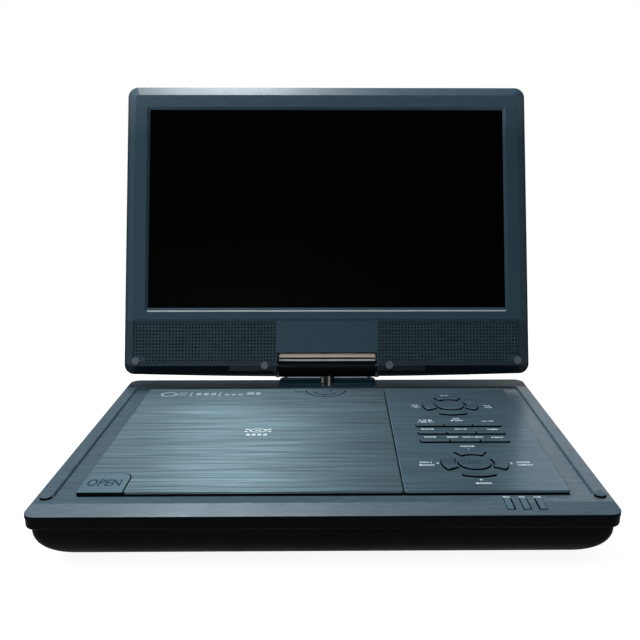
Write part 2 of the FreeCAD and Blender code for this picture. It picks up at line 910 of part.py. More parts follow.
def make_disc_lid():
    body = new_body("lid_plate")
    doc.recompute()
    low = d.plate_height - d.lid_thick
    sketch = new_sketch(body, "lid_outline", offset=low)
    step = d.plate_gap * 0.7
    polygon(sketch, [
        (open_x[1] + step, plate_y[0]),
        (lid_x[1], plate_y[0]),
        (lid_x[1], plate_y[1]),
        (lid_x[0], plate_y[1]),
        (lid_x[0], open_y[1] + step),
        (open_x[1] + step, open_y[1] + step),
    ])
    pad(body, "lid_pad", sketch, d.lid_thick)
    inner_x = float(open_x[1] + step)
    inner_y = float(open_y[1] + step)

    def notch_corner(edge):
        box = edge.BoundBox
        return upright(edge) and abs(box.XMin - inner_x) < 0.01 and abs(box.YMin - inner_y) < 0.01

    def lid_corner(edge):
        box = edge.BoundBox
        return upright(edge) and not (abs(box.YMin - inner_y) < 7 and abs(box.XMin - inner_x) < 7)

    dress(body, "Fillet", "lid_notch_round", notch_corner, Radius=d.open_corner + step)
    dress(body, "Fillet", "lid_corner_round", lid_corner, Radius=1.0)
    dress(body, "Fillet", "lid_edge_round", at_height(d.plate_height), Radius=d.plate_edge)
    doc.recompute()

    extras = []
    for i, x in enumerate(knuckle_spots()):
        half = d.knuckle_width / 2
        extras.append(rod(f"knuckle_{i}", (x - half, lid_axis_y, d.lid_axis_z), d.knuckle_radius,
                          d.knuckle_width, "x"))
        extras.append(block(f"knuckle_web_{i}", (x - half, x + half),
                            (lid_axis_y - d.knuckle_reach, 1.0 * lid_axis_y),
                            (1.0 * low, d.lid_axis_z + d.knuckle_radius * 0.6)))
        extras.append(rod(f"lid_pin_{i}", (x - half - d.ear_width, lid_axis_y, d.lid_axis_z),
                          d.lid_pin_radius, d.knuckle_width + d.ear_width * 2, "x"))
    hook_low = d.boss_joint + 1.0
    stem = block("hook_stem", around(hook_x, d.hook_width), (hook_y, hook_y + d.hook_thick),
                 (hook_low, low + 0.5))
    nose = block("hook_nose", around(hook_x, d.hook_width),
                 (hook_y, hook_y + d.hook_thick + d.hook_reach), (hook_low, hook_low + 1.0))
    node("disc_lid", fuse("disc_lid", [body] + extras + [stem, nose]), "base")


make_disc_lid()


def make_open_button():
    body = new_body("open_cap")
    doc.recompute()
    low = d.plate_height - d.lid_thick
    sketch = new_sketch(body, "open_outline", offset=low)
    rectangle(sketch, open_x, open_y)
    pad(body, "open_pad", sketch, d.lid_thick)
    far_x = float(open_x[1])
    far_y = float(open_y[1])

    def inner_corner(edge):
        box = edge.BoundBox
        return upright(edge) and abs(box.XMin - far_x) < 0.01 and abs(box.YMin - far_y) < 0.01

    dress(body, "Fillet", "open_round", inner_corner, Radius=d.open_corner)
    dress(body, "Fillet", "open_edge_round", at_height(d.plate_height), Radius=d.plate_edge)
    doc.recompute()
    foot = block("open_stem", around(open_x[0] + d.open_width / 2, 10.0),
                 around(open_y[0] + d.open_depth / 2, 10.0), (d.boss_joint, low + 0.5))
    flange = block("open_flange", (open_x[0] - 1.2, open_x[0] + d.open_width * 0.4),
                   (open_y[0] + 4.0, open_y[1] - 4.0), (d.split_height - 1.4, d.split_height - 0.2))
    web = block("open_web", (open_x[0] + 2.0, open_x[0] + d.open_width * 0.4),
                (open_y[0] + 6.0, open_y[1] - 6.0), (d.split_height - 0.7, low + 0.5))
    node("open_button", fuse("open_button", [body, foot, flange, web]), "base")


make_open_button()


def make_lid_latch():
    """A slide under the deck whose lip holds the lid's hook."""
    deck = d.split_height - 0.3
    left = open_x[0] + d.open_width / 2 + 5.6
    right = hook_x + d.hook_width / 2 + 2.0
    lip_y = hook_y + d.hook_thick + d.fit_gap
    bar_y = lip_y + 2.2
    bar = block("latch_bar", (left, right), (bar_y, bar_y + d.latch_depth), (d.boss_joint - 1.0, deck))
    lip = block("latch_lip", around(hook_x, d.hook_width), (lip_y, lip_y + 3.0),
                (d.boss_joint + 2.3, deck))
    node("lid_latch", fuse("lid_latch", [bar, lip]), "base")


make_lid_latch()


# Control panel and keys

key_top = d.plate_height + d.key_proud
mat_top = d.split_height - d.key_travel - 0.1


def ring_piece(name, centre, inner, outer, first, sweep, low, high):
    wedge = sector(name + "_wedge", (centre[0], centre[1], low), outer, high - low, first, sweep)
    core = rod(name + "_core", (centre[0], centre[1], low - 1), inner, high - low + 2)
    return cut(name, wedge, [core])


def ring_centres():
    return [("upper", (keys_x, rows_y + d.ring_upper)), ("lower", (keys_x, rows_y + d.ring_lower))]


RING_SIDES = [("right", 0), ("back", 90), ("left", 180), ("front", 270)]


def make_control_panel():
    body = new_body("panel_plate")
    doc.recompute()
    sketch = new_sketch(body, "panel_outline", offset=recess_floor)
    round_rectangle(sketch, panel_x, plate_y, 1.0 * d.lip_thick)
    pad(body, "panel_pad", sketch, d.plate_height - recess_floor)
    dress(body, "Fillet", "panel_edge_round", at_height(d.plate_height), Radius=d.plate_edge)
    doc.recompute()
    low = recess_floor - 1
    high = d.plate_height + 1
    gap = d.key_gap
    holes = []
    for row in (-1, 0, 1):
        blank = block(f"row_blank_{row + 1}", around(keys_x, d.key_pitch * 2 + d.key_width + gap * 2),
                      around(rows_y + d.row_pitch * row, d.key_depth + gap * 2), (low, high))
        holes.append(soften(f"row_hole_{row + 1}", blank, d.key_corner + gap, upright))
    for ring, centre in ring_centres():
        holes.append(rod(f"{ring}_dome_hole", (centre[0], centre[1], low), d.dome_radius + gap, high - low))
        for side, angle in RING_SIDES:
            slack = d.ring_slack
            first = angle - float(d.ring_sweep / 2 + slack)
            blank = ring_piece(f"{ring}_{side}_blank", centre, d.ring_inner - gap,
                               d.ring_outer + gap, first, d.ring_sweep + slack * 2, low, high)
            holes.append(soften(f"{ring}_{side}_hole", blank, d.key_corner + gap, upright))
    node("control_panel", cut("control_panel", body, holes), "base")


make_control_panel()


def make_keys():
    low = mat_top + d.key_travel + 0.1
    flange_top = low + d.key_flange
    reach = d.flange_reach
    for row, row_name in ((1, "back"), (0, "middle"), (-1, "front")):
        for column, column_name in ((-1, "left"), (0, "centre"), (1, "right")):
            name = f"key_{row_name}_{column_name}"
            x = keys_x + d.key_pitch * column
            y = rows_y + d.row_pitch * row
            cap = key_cap(name, block(name + "_cap", around(x, d.key_width), around(y, d.key_depth),
                                      (low, key_top)), key_top)
            flange = block(name + "_flange", around(x, d.key_width),
                           around(y, d.key_depth + reach * 2 + d.key_gap * 2), (low, flange_top))
            node(name, fuse(name, [cap, flange]), "base")
    for ring, centre in ring_centres():
        name = f"key_{ring}_middle"
        cap = soften(name + "_soft", rod(name + "_cap", (centre[0], centre[1], low), d.dome_radius,
                                         key_top - low), d.key_edge, at_height(key_top))
        flange = rod(name + "_flange", (centre[0], centre[1], low), d.dome_radius + d.key_gap + reach,
                     d.key_flange)
        node(name, fuse(name, [cap, flange]), "base")
        for side, angle in RING_SIDES:
            name = f"key_{ring}_{side}"
            first = angle - float(d.ring_sweep) / 2
            cap = key_cap(name, ring_piece(name + "_cap", centre, d.ring_inner, d.ring_outer, first,
                                           d.ring_sweep, low, key_top), key_top)
            flange = ring_piece(name + "_flange", centre, d.ring_inner - d.key_gap * 1.6,
                                d.ring_outer + d.key_gap + reach, first, d.ring_sweep, low, flange_top)
            node(name, fuse(name, [cap, flange]), "base")


make_keys()


def make_key_mat_and_board():
    inner_x = (keybay_x[0] + 1, keybay_x[1] - 1)
    inner_y = (keybay_y[0] + 1, keybay_y[1] - 1)
    mat_low = mat_top - d.mat_thick
    node("key_membrane", block("mat_sheet", inner_x, inner_y, (mat_low, mat_top)), "base")
    board = block("key_board_sheet", inner_x, inner_y, (mat_low - d.board_thick, mat_low))
    node("key_board", board, "base")


make_key_mat_and_board()


def make_indicator_lenses():
    """Three light guides whose tops follow the sloped front edge, a little above it."""
    wedge = slope_wedge("lens_slope", -d.window_rise)
    bars = []
    for i in (-1, 0, 1):
        bars.append(block(f"lens_bar_{i + 1}",
                          around(window_x + d.window_pitch * i, d.window_width - d.run_gap * 4),
                          around(window_y, d.window_length - d.run_gap * 4),
                          (d.split_height - 0.6, d.frame_height + d.window_rise)))
    node("indicator_lenses", cut("indicator_lenses", group("lens_bars", bars), [wedge]), "base")


make_indicator_lenses()


def make_bumpers():
    stops = []
    for side in (-1, 1):
        x = stop_x * side
        dome = rod(f"stop_dome_{side + 1}", (x, stop_y, 1.0 * d.frame_height), d.stop_radius, d.stop_height)
        stem = rod(f"stop_stem_{side + 1}", (x, stop_y, d.split_height + 0.2), d.stop_radius / 2,
                   d.frame_height - d.split_height + 0.2)
        stops.append(fuse(f"stop_{side + 1}", [dome, stem]))
    node("bumpers", group("bumpers", stops), "base")


make_bumpers()


# Feet and screws

def make_rubber_feet():
    feet = []
    for i, (x, y) in enumerate(foot_places()):
        feet.append(rod(f"foot_{i}", (x, y, 0), d.foot_radius, d.foot_gap + d.foot_sink))
    node("rubber_feet", group("rubber_feet", feet), "base")


make_rubber_feet()


def make_case_screws():
    screws = []
    for i, (x, y) in enumerate(screw_places()):
        low = d.foot_gap + 0.2
        head = rod(f"screw_head_{i}", (x, y, low), d.head_radius, d.head_thick - 0.2)
        shank = rod(f"screw_shank_{i}", (x, y, low + 0.5), d.screw_radius, d.split_height - low - 0.4)
        slot = block(f"screw_slot_{i}", around(x, d.head_radius), around(y, d.head_radius * 0.25),
                     (low - 1, low + 0.7))
        cross = block(f"screw_cross_{i}", around(x, d.head_radius * 0.25), around(y, d.head_radius),
                      (low - 1, low + 0.7))
        screws.append(cut(f"screw_{i}", fuse(f"screw_blank_{i}", [head, shank]), [slot, cross]))
    node("case_screws", group("case_screws", screws), "base")


make_case_screws()


# Optical drive

def from_disc(dx, dy):
    return (disc_x + dx, disc_y + dy)


def make_drive():
    chassis_top = d.chassis_z + d.chassis_thick
    plate = block("chassis_plate", (disc_x - d.chassis_left, disc_x + d.chassis_right),
                  around(disc_y, d.chassis_depth), (1.0 * d.chassis_z, chassis_top))
    rail_x = disc_x + d.sled_start - 2.0
    rail_end = rail_x + d.rail_length
    holders = []
    for i, (low, high) in enumerate(((rail_x - 1.5, rail_x + 1.5), (rail_end - 1.5, rail_end + 1.5))):
        for side in (-1, 1):
            y = disc_y + d.rail_spread * side
            holders.append(block(f"rail_holder_{i}_{side + 1}", (low, high), around(y, d.rail_holder),
                                 (chassis_top - 0.5, d.rail_z + d.rail_radius + 1.0)))
    screw_y = disc_y - d.screw_offset
    holders.append(block("screw_holder", (rail_end - 1.5, rail_end + 1.5), around(screw_y, d.rail_holder),
                         (chassis_top - 0.5, d.rail_z + 2.5)))
    motor_hole = rod("chassis_motor_hole", from_disc(0, 0) + (d.chassis_z - 1,),
                     d.motor_radius + d.fit_gap, d.chassis_thick + 2)
    window = block("chassis_window", (rail_x + 1.5, rail_end - 1.5), around(disc_y, d.sled_width + 2),
                   (d.chassis_z - 1, chassis_top + 1))
    screw_room = block("chassis_screw_room", (rail_x + 1.5, rail_end - 1.5),
                       (screw_y - 4.0, disc_y), (d.chassis_z - 1, chassis_top + 1))
    bores = [motor_hole, window, screw_room]
    for side in (-1, 1):
        bores.append(rod(f"rail_bore_{side + 1}", (rail_x - 2, disc_y + d.rail_spread * side, d.rail_z),
                         d.rail_radius + d.run_gap / 2, d.rail_length + 4, "x"))
    bores.append(rod("screw_bore", (rail_end - 2, screw_y, d.rail_z), d.lead_radius * 0.6 + d.run_gap,
                     4.0, "x"))
    node("drive_chassis", cut("drive_chassis", fuse("chassis_whole", [plate] + holders), bores), "base")

    rails = []
    for side in (-1, 1):
        rails.append(rod(f"rail_{side + 1}", (rail_x - 1.5, disc_y + d.rail_spread * side, d.rail_z),
                         d.rail_radius, d.rail_length + 3, "x"))
    node("guide_rails", group("guide_rails", rails), "base")

    motor_low = d.chassis_z - 4.0
    can = rod("motor_can", from_disc(0, 0) + (motor_low,), d.motor_radius, d.motor_height)
    plate = rod("motor_plate", from_disc(0, 0) + (motor_low - 0.8,), d.motor_radius + 1.5, 0.8)
    bore = rod("motor_bore", from_disc(0, 0) + (motor_low + 1,), d.shaft_radius + d.run_gap, 10.0)
    node("spindle_motor", cut("spindle_motor", fuse("motor_whole", [can, plate]), [bore]), "base")

    body = new_body("hub_turned")
    doc.recompute()
    sketch = new_sketch(body, "hub_profile", "XZ_Plane")
    flange_low = d.disc_seat - d.table_thick
    hub_top = d.disc_seat + d.hub_height
    polygon(sketch, [
        (0.0, motor_low + 1.5),
        (1.0 * d.shaft_radius, motor_low + 1.5),
        (1.0 * d.shaft_radius, motor_low + d.motor_height + 0.6),
        (d.shaft_radius + 2.0, motor_low + d.motor_height + 0.6),
        (d.shaft_radius + 2.0, flange_low),
        (1.0 * d.table_radius, flange_low),
        (1.0 * d.table_radius, 1.0 * d.disc_seat),
        (1.0 * d.hub_radius, 1.0 * d.disc_seat),
        (1.0 * d.hub_radius, hub_top - 0.8),
        (d.hub_radius - 0.8, 1.0 * hub_top),
        (0.0, 1.0 * hub_top),
    ])
    turned = body.newObject("PartDesign::Revolution", "hub_turn")
    turned.Profile = sketch
    turned.ReferenceAxis = (sketch, ["V_Axis"])
    turned.Angle = 360
    doc.recompute()
    hub = group("turntable_hub", [body])
    hub.Label = "turntable_hub"
    hub.setExpression("Placement.Base.x", disc_x.text)
    hub.setExpression("Placement.Base.y", (d.base_shift + disc_y).text)
    NODES.append(("turntable_hub", hub))

    sled_x = (disc_x + d.sled_start, disc_x + d.sled_start + d.sled_length)
    sled_z = (d.rail_z - d.sled_height / 2, d.rail_z + d.sled_height / 2)
    deck = block("sled_deck", sled_x, around(disc_y, d.sled_width), sled_z)
    arm = block("sled_arm", around(sled_x[0] + d.sled_length / 2, 8.0),
                (screw_y - d.lead_radius - 1.6, disc_y), (d.rail_z - 2.6, d.rail_z + 2.6))
    bores = []
    for side in (-1, 1):
        bores.append(rod(f"sled_bore_{side + 1}",
                         (sled_x[0] - 1, disc_y + d.rail_spread * side, d.rail_z),
                         d.rail_radius + d.run_gap, d.sled_length + 2, "x"))
    bores.append(rod("sled_nut", (sled_x[0] - 1, screw_y, d.rail_z), d.lead_radius + d.run_gap,
                     d.sled_length + 2, "x"))
    lens_spot = (sled_x[0] + d.sled_length / 2, disc_y)
    bores.append(rod("sled_lens_well", lens_spot + (d.rail_z,), d.lens_radius + 0.4, 9.0))
    node("pickup_sled", cut("pickup_sled", fuse("sled_whole", [deck, arm]), bores), "base")

    barrel = rod("lens_barrel", lens_spot + (d.rail_z + 0.8,), d.lens_radius,
                 d.lens_top - d.rail_z - 0.8)
    eye = rod("lens_eye", lens_spot + (d.lens_top - 0.4,), d.lens_radius * 0.55, 1.0)
    node("lens_holder", cut("lens_holder", barrel, [eye]), "base")

    can_x = rail_x + 1.5 - d.sled_motor_length - 1.8
    can = rod("sled_motor_can", (can_x, screw_y, d.rail_z), d.sled_motor_radius, d.sled_motor_length, "x")
    shoe = block("sled_motor_shoe", (can_x + 1.0, can_x + d.sled_motor_length - 1.0),
                 around(screw_y, d.sled_motor_radius * 1.6), (chassis_top, 1.0 * d.rail_z))
    whole = fuse("sled_motor_whole", [can, shoe])
    under = block("sled_motor_flat", (can_x - 1, can_x + d.sled_motor_length + 1),
                  around(screw_y, d.sled_motor_radius * 2.4), (d.chassis_z - 8.0, chassis_top + 0.02))
    over = block("sled_motor_top", (can_x - 1, can_x + d.sled_motor_length + 1),
                 around(screw_y, d.sled_motor_radius * 2.4),
                 (1.0 * sled_z[1], sled_z[1] + d.sled_motor_radius))
    seat = rod("sled_motor_bore", (can_x + 3.0, screw_y, d.rail_z), d.lead_radius * 0.6 + d.run_gap,
               d.sled_motor_length, "x")
    node("sled_motor", cut("sled_motor", whole, [under, over, seat]), "base")

    start = can_x + 3.5
    journal = rod("lead_journal", (start, screw_y, d.rail_z), d.lead_radius * 0.6,
                  rail_end + 1.2 - start, "x")
    thread_start = can_x + d.sled_motor_length + 0.4
    thread = rod("lead_thread", (thread_start, screw_y, d.rail_z), d.lead_radius,
                 rail_end - 1.9 - thread_start, "x")
    node("lead_screw", fuse("lead_screw", [journal, thread]), "base")


make_drive()


# Battery, board and bottom door

def make_battery():
    door_top = d.foot_gap + d.door_thick
    pack = block("pack_block", around(battery_x, d.battery_width),
                 around(0.0 * d.battery_length, d.battery_length),
                 (door_top + 0.1, door_top + 0.1 + d.battery_height))
    node("battery_pack", pack, "base")
    half = d.door_lip - d.run_gap * 2
    door_x = around(battery_x, d.battery_width + d.fit_gap * 2 + half * 2)
    door_y = around(0.0 * d.battery_length, d.battery_length + d.fit_gap * 2 + half * 2)
    door = block("door_sheet", door_x, door_y, (1.0 * d.foot_gap, door_top))
    pull_back = door_y[1] - d.pull_inset
    pull = block("door_pull", around(battery_x, d.pull_width),
                 (pull_back - d.pull_depth, pull_back), (d.foot_gap - 1, d.foot_gap + d.door_thick * 0.4))
    node("battery_door", cut("battery_door", door, [pull]), "base")


make_battery()


# Each chip: name, place on the board from the disc's centre, width, length and height
CHIPS = [
    ("chip_decoder", -24.0, 30.0, 18.0, 18.0, 1.2),
    ("chip_memory", 4.0, 34.0, 12.0, 8.0, 1.0),
    ("chip_driver", -28.0, -34.0, 10.0, 10.0, 1.2),
    ("chip_power", 26.0, 44.0, 8.0, 8.0, 1.4),
]


def make_main_board():
    top = d.board_z + d.board_thick
    sheet_part = block("board_sheet", around(board_x, d.board_width),
                       around(disc_y, d.board_length), (1.0 * d.board_z, top))
    chips = []
    for name, dx, dy, width, length, height in CHIPS:
        chips.append(block(name, around(board_x + dx, 1.0 * width), around(disc_y + dy, 1.0 * length),
                           (top - 0.2, top + height)))
    node("main_board", fuse("main_board", [sheet_part] + chips), "base")


make_main_board()


# Sockets and the power switch

def make_sockets():
    face = socket_face
    plate_low = d.socket_low - 0.8
    plate_high = d.socket_high + 0.8
    plate = block("socket_plate", (face - d.socket_thick, face),
                  around(d.socket_y, d.socket_length + 1.6), (plate_low, plate_high))
    holes = []
    deep = face - d.socket_thick - 1
    for name, y in (("phones", d.phones_y), ("video", d.video_y)):
        holes.append(rod(f"{name}_hole", (deep, y, d.socket_z), d.collar_radius + 0.1, 5.0, "x"))
    holes.append(rod("dc_hole", (deep, d.dc_y, d.socket_z), d.dc_radius + 1.3, 5.0, "x"))
    holes.append(block("usb_hole", (deep, face + 2), around(d.usb_y, d.usb_width + 1.4),
                       around(d.socket_z, d.usb_height + 1.4)))
    slot_length = d.switch_knob + d.switch_travel + 0.6
    holes.append(block("switch_hole", (deep, face + 2), around(d.switch_y, slot_length),
                       around(d.socket_z, d.switch_height + 0.6)))
    node("socket_panel", cut("socket_panel", plate, holes), "base")

    inner = face - d.socket_thick - 0.1
    jacks = []
    for name, y in (("phones", d.phones_y), ("video", d.video_y)):
        shell = block(f"{name}_shell", (inner - d.jack_length + 2.0, inner), around(y, 1.0 * d.jack_width),
                      around(d.socket_z, d.jack_height))
        mouth = face + d.collar_reach
        collar = rod(f"{name}_collar", (inner - 0.5, y, d.socket_z), d.collar_radius,
                     mouth - inner + 0.5, "x")
        bore = rod(f"{name}_bore", (mouth - d.jack_length, y, d.socket_z), d.jack_radius,
                   d.jack_length + 2, "x")
        jacks.append(cut(f"{name}_jack", fuse(f"{name}_whole", [shell, collar]), [bore]))
    node("signal_jacks", group("signal_jacks", jacks), "base")

    shell = block("dc_shell", (inner - d.dc_length, inner), around(d.dc_y, d.dc_width),
                  around(d.socket_z, d.dc_height))
    collar = rod("dc_collar", (inner - 0.5, d.dc_y, d.socket_z), d.dc_radius + 1.2,
                 face - inner + 0.5, "x")
    bore = rod("dc_bore", (inner - d.dc_length + 2.0, d.dc_y, d.socket_z), d.dc_radius, d.dc_length + 1, "x")
    pin = rod("dc_pin", (inner - d.dc_length + 1.0, d.dc_y, d.socket_z), d.dc_pin_radius,
              d.dc_length - 1, "x")
    outer = cut("dc_outer", fuse("dc_whole", [shell, collar]), [bore])
    node("dc_jack", fuse("dc_jack", [outer, pin]), "base")

    shell = block("usb_shell", (inner - d.usb_length, face + 0.2),
                  around(d.usb_y, d.usb_width + d.usb_wall * 2),
                  around(d.socket_z, d.usb_height + d.usb_wall * 2))
    floor = inner - d.usb_length + 1.0
    mouth = block("usb_mouth", (floor, face + 1.0), around(d.usb_y, d.usb_width),
                  around(d.socket_z, d.usb_height))
    tongue = block("usb_tongue", (floor - d.usb_wall, face - 2.0), around(d.usb_y, d.usb_width - 2.0),
                   (d.socket_z + 0.4, d.socket_z + 2.2))
    node("usb_port", fuse("usb_port", [cut("usb_outer", shell, [mouth]), tongue]), "base")

    slide_y = d.switch_y - d.switch_travel / 2
    knob = block("switch_knob", (inner - 0.5, face + 1.3), around(slide_y, 1.0 * d.switch_knob),
                 around(d.socket_z, d.switch_height))
    foot = block("switch_foot", (inner - 2.0, inner - 0.3), around(slide_y, d.switch_knob + 1.4),
                 around(d.socket_z, d.switch_height + 2.2))
    node("power_switch", fuse("power_switch", [knob, foot]), "base")


make_sockets()


# Swivel post, bracket and hinge barrel

def make_swivel():
    half = bracket_half()
    top = d.bracket_z + d.bracket_thick
    back = base_y[1] - d.bowl_inset - d.case_wall - 0.3
    plate = block("bracket_plate", (-half, half), (hinge_y - 8.0, back), (1.0 * d.bracket_z, top))
    bush = rod("bracket_bush", (0, hinge_y, d.bracket_z), d.bush_radius,
               d.split_height - 0.2 - d.bracket_z)
    bore = rod("bracket_bore", (0, hinge_y, d.bracket_z - 1), d.pivot_radius + d.run_gap, 9.0)
    node("swivel_bracket", cut("swivel_bracket", fuse("bracket_whole", [plate, bush]), [bore]), "base")

    inside_low = d.hinge_z - d.pin_radius - 2.0
    pivot = rod("shaft_pivot", (0, hinge_y, d.bracket_z - 1.3), d.pivot_radius,
                d.split_height - d.bracket_z + 2.0)
    clip = rod("shaft_clip", (0, hinge_y, d.bracket_z - 1.3), d.pivot_radius + 1.2, 0.8)
    post = rod("shaft_post", (0, hinge_y, d.split_height - 0.1), d.post_visible,
               inside_low - d.split_height + 0.1)
    washer_z = d.frame_height + d.hump_height + 0.15
    washer = rod("shaft_washer", (0, hinge_y, washer_z), d.post_visible + d.washer_reach,
                 1.0 * d.washer_thick)
    node("swivel_shaft", fuse("swivel_shaft", [pivot, clip, post, washer]), "base")

    reach = d.barrel_length / 2 - d.barrel_wall - 1.0
    block_half_y = d.pin_radius + 1.0
    core = block("tilt_core", (-reach, reach), (hinge_y - block_half_y, hinge_y + block_half_y),
                 (inside_low, d.hinge_z + d.pin_radius + 1.4))
    bore = rod("tilt_bore", (-reach - 1, hinge_y, d.hinge_z), d.pin_radius + d.run_gap,
               reach * 2 + 2, "x")
    node("tilt_bracket", cut("tilt_bracket", core, [bore]), "base")


make_swivel()


def end_arc(edge):
    return isinstance(edge.Curve, Part.Circle)


def make_barrel():
    """The barrel is a hollow cylinder split along a plane through its axis."""
    length = d.barrel_length
    for name, turn in (("hinge_cover_front", 180), ("hinge_cover_rear", 0)):
        start = 90 - float(d.seam_angle) + turn
        outer = doc.addObject("Part::Cylinder", name + "_outer")
        outer.Placement = Placement(Vector(), Rotation(Vector(1, 0, 0), start) * AXES["x"])
        bind(outer, Radius=d.barrel_radius, Height=length, Angle=180.0)
        move(outer, -length / 2, hinge_y, d.hinge_z)
        outer = soften(name + "_soft", outer, d.barrel_edge, end_arc)
        inner_length = length - d.barrel_wall * 2
        inner = rod(name + "_inner", (-inner_length / 2, hinge_y, d.hinge_z),
                    d.barrel_radius - d.barrel_wall, inner_length, "x")
        pins = rod(name + "_pins", (-length, hinge_y, d.hinge_z), d.pin_radius + 0.15, length * 2, "x")
        post = rod(name + "_post", (0, hinge_y, d.split_height), d.post_visible + 0.1,
                   d.hinge_z - d.split_height)
        seam = doc.addObject("Part::Box", name + "_seam")
        angle = -float(d.seam_angle)
        seam.Placement = Placement(Vector(), Rotation(Vector(1, 0, 0), angle))
        half_gap = float(d.seam_gap) / 2
        reach = float(d.barrel_radius) + 1
        offset = Rotation(Vector(1, 0, 0), angle).multVec(Vector(0, -reach, -half_gap))
        bind(seam, Length=length + 2, Width=d.barrel_radius * 2 + 2, Height=d.seam_gap)
        move(seam, -length / 2 - 1, hinge_y + offset.y, d.hinge_z + offset.z)
        node(name, cut(name, outer, [inner, pins, post, seam]), "base")


make_barrel()


# Screen

screen_x = around(0.0 * d.screen_width, d.screen_width)
screen_z = (1.0 * d.screen_bottom, 1.0 * d.screen_top)
face_x = around(0.0 * d.face_width, d.face_width)
face_z = (1.0 * d.face_bottom, 1.0 * d.face_top)
display_x = around(0.0 * d.display_width, d.display_width)
display_z = (1.0 * d.display_bottom, d.display_bottom + d.display_height)
notch_x = around(0.0 * d.notch_width, d.notch_width)
skin_back = d.face_front - d.skin
arm_seat = d.cover_back - d.cover_crown - d.skin


def bulge_profile(sketch, half, side, rise, far):
    """An outline with one long side bowed by a rise, closed by three straight lines up to far."""
    up = float(rise) > 0
    height = rise if up else -rise
    radius = (half * half + height * height) / (height * 2)
    middle = float(side) + float(rise) + (-float(radius) if up else float(radius))
    centre = Vector(0, middle, 0)
    lean = math.atan2(abs(float(side) - middle), float(half))
    ends = (lean, math.pi - lean) if up else (math.pi + lean, 2 * math.pi - lean)
    arc = Part.ArcOfCircle(Part.Circle(centre, Vector(0, 0, 1), float(radius)), *ends)
    sketch.addGeometry(arc, False)
    corners = [(half, side), (half, far), (-half, far), (-half, side)]
    spots = [Vector(float(x), float(y), 0) for x, y in corners]
    for a, b in zip(spots, spots[1:]):
        sketch.addGeometry(Part.LineSegment(a, b), False)
    right, left = (1, 2) if up else (2, 1)
    sketch.addConstraint(Sketcher.Constraint("Coincident", 0, right, 1, 1))
    sketch.addConstraint(Sketcher.Constraint("Coincident", 1, 2, 2, 1))
    sketch.addConstraint(Sketcher.Constraint("Coincident", 2, 2, 3, 1))
    sketch.addConstraint(Sketcher.Constraint("Coincident", 3, 2, 0, left))
    for index, (x, y) in zip((1, 2, 3), corners):
        pin_point(sketch, index, 1, x, y)
    pin_point(sketch, 3, 2, *corners[3])
    number = sketch.addConstraint(Sketcher.Constraint("Radius", 0, float(radius)))
    sketch.setExpression(f"Constraints[{number}]", radius.text)


def bow_profile(sketch):
    """The bottom edge of the screen dips in a shallow arc."""
    bulge_profile(sketch, d.bow_width / 2, 1.0 * d.screen_bottom, -d.bow_depth, d.screen_bottom + 1.0)


def sound_holes():
    """The round fields of open holes in front of the two speakers."""
    pitch = float(d.hole_pitch)
    field = float(d.hole_field)
    count = int(field / pitch)
    holes = []
    for side in (-1, 1):
        for i in range(-count, count + 1):
            for j in range(-count, count + 1):
                if math.hypot(i, j) * pitch > field:
                    continue
                x = float(d.speaker_x) * side + i * pitch
                z = float(d.speaker_z) + j * pitch
                start = Vector(x, -float(d.face_front) - 1, z)
                holes.append(Part.makeCylinder(float(d.hole_radius), float(d.skin) + 2, start,
                                               Vector(0, 1, 0)))
    obj = doc.addObject("Part::Feature", "sound_holes")
    obj.Shape = Part.makeCompound(holes)
    return obj


def pin_room(name):
    """The bore through both sides of the notch for the tilt pins."""
    reach = notch_x[1] + d.tab_width
    return rod(name, (-reach, 0, 0), d.pin_radius + d.fit_gap, reach * 2, "x")


def cap_places():
    places = []
    for side in (-1, 1):
        places.append((d.cap_outer_x * side, d.cap_outer_z))
        places.append((d.cap_inner_x * side, d.cap_inner_z))
    return places


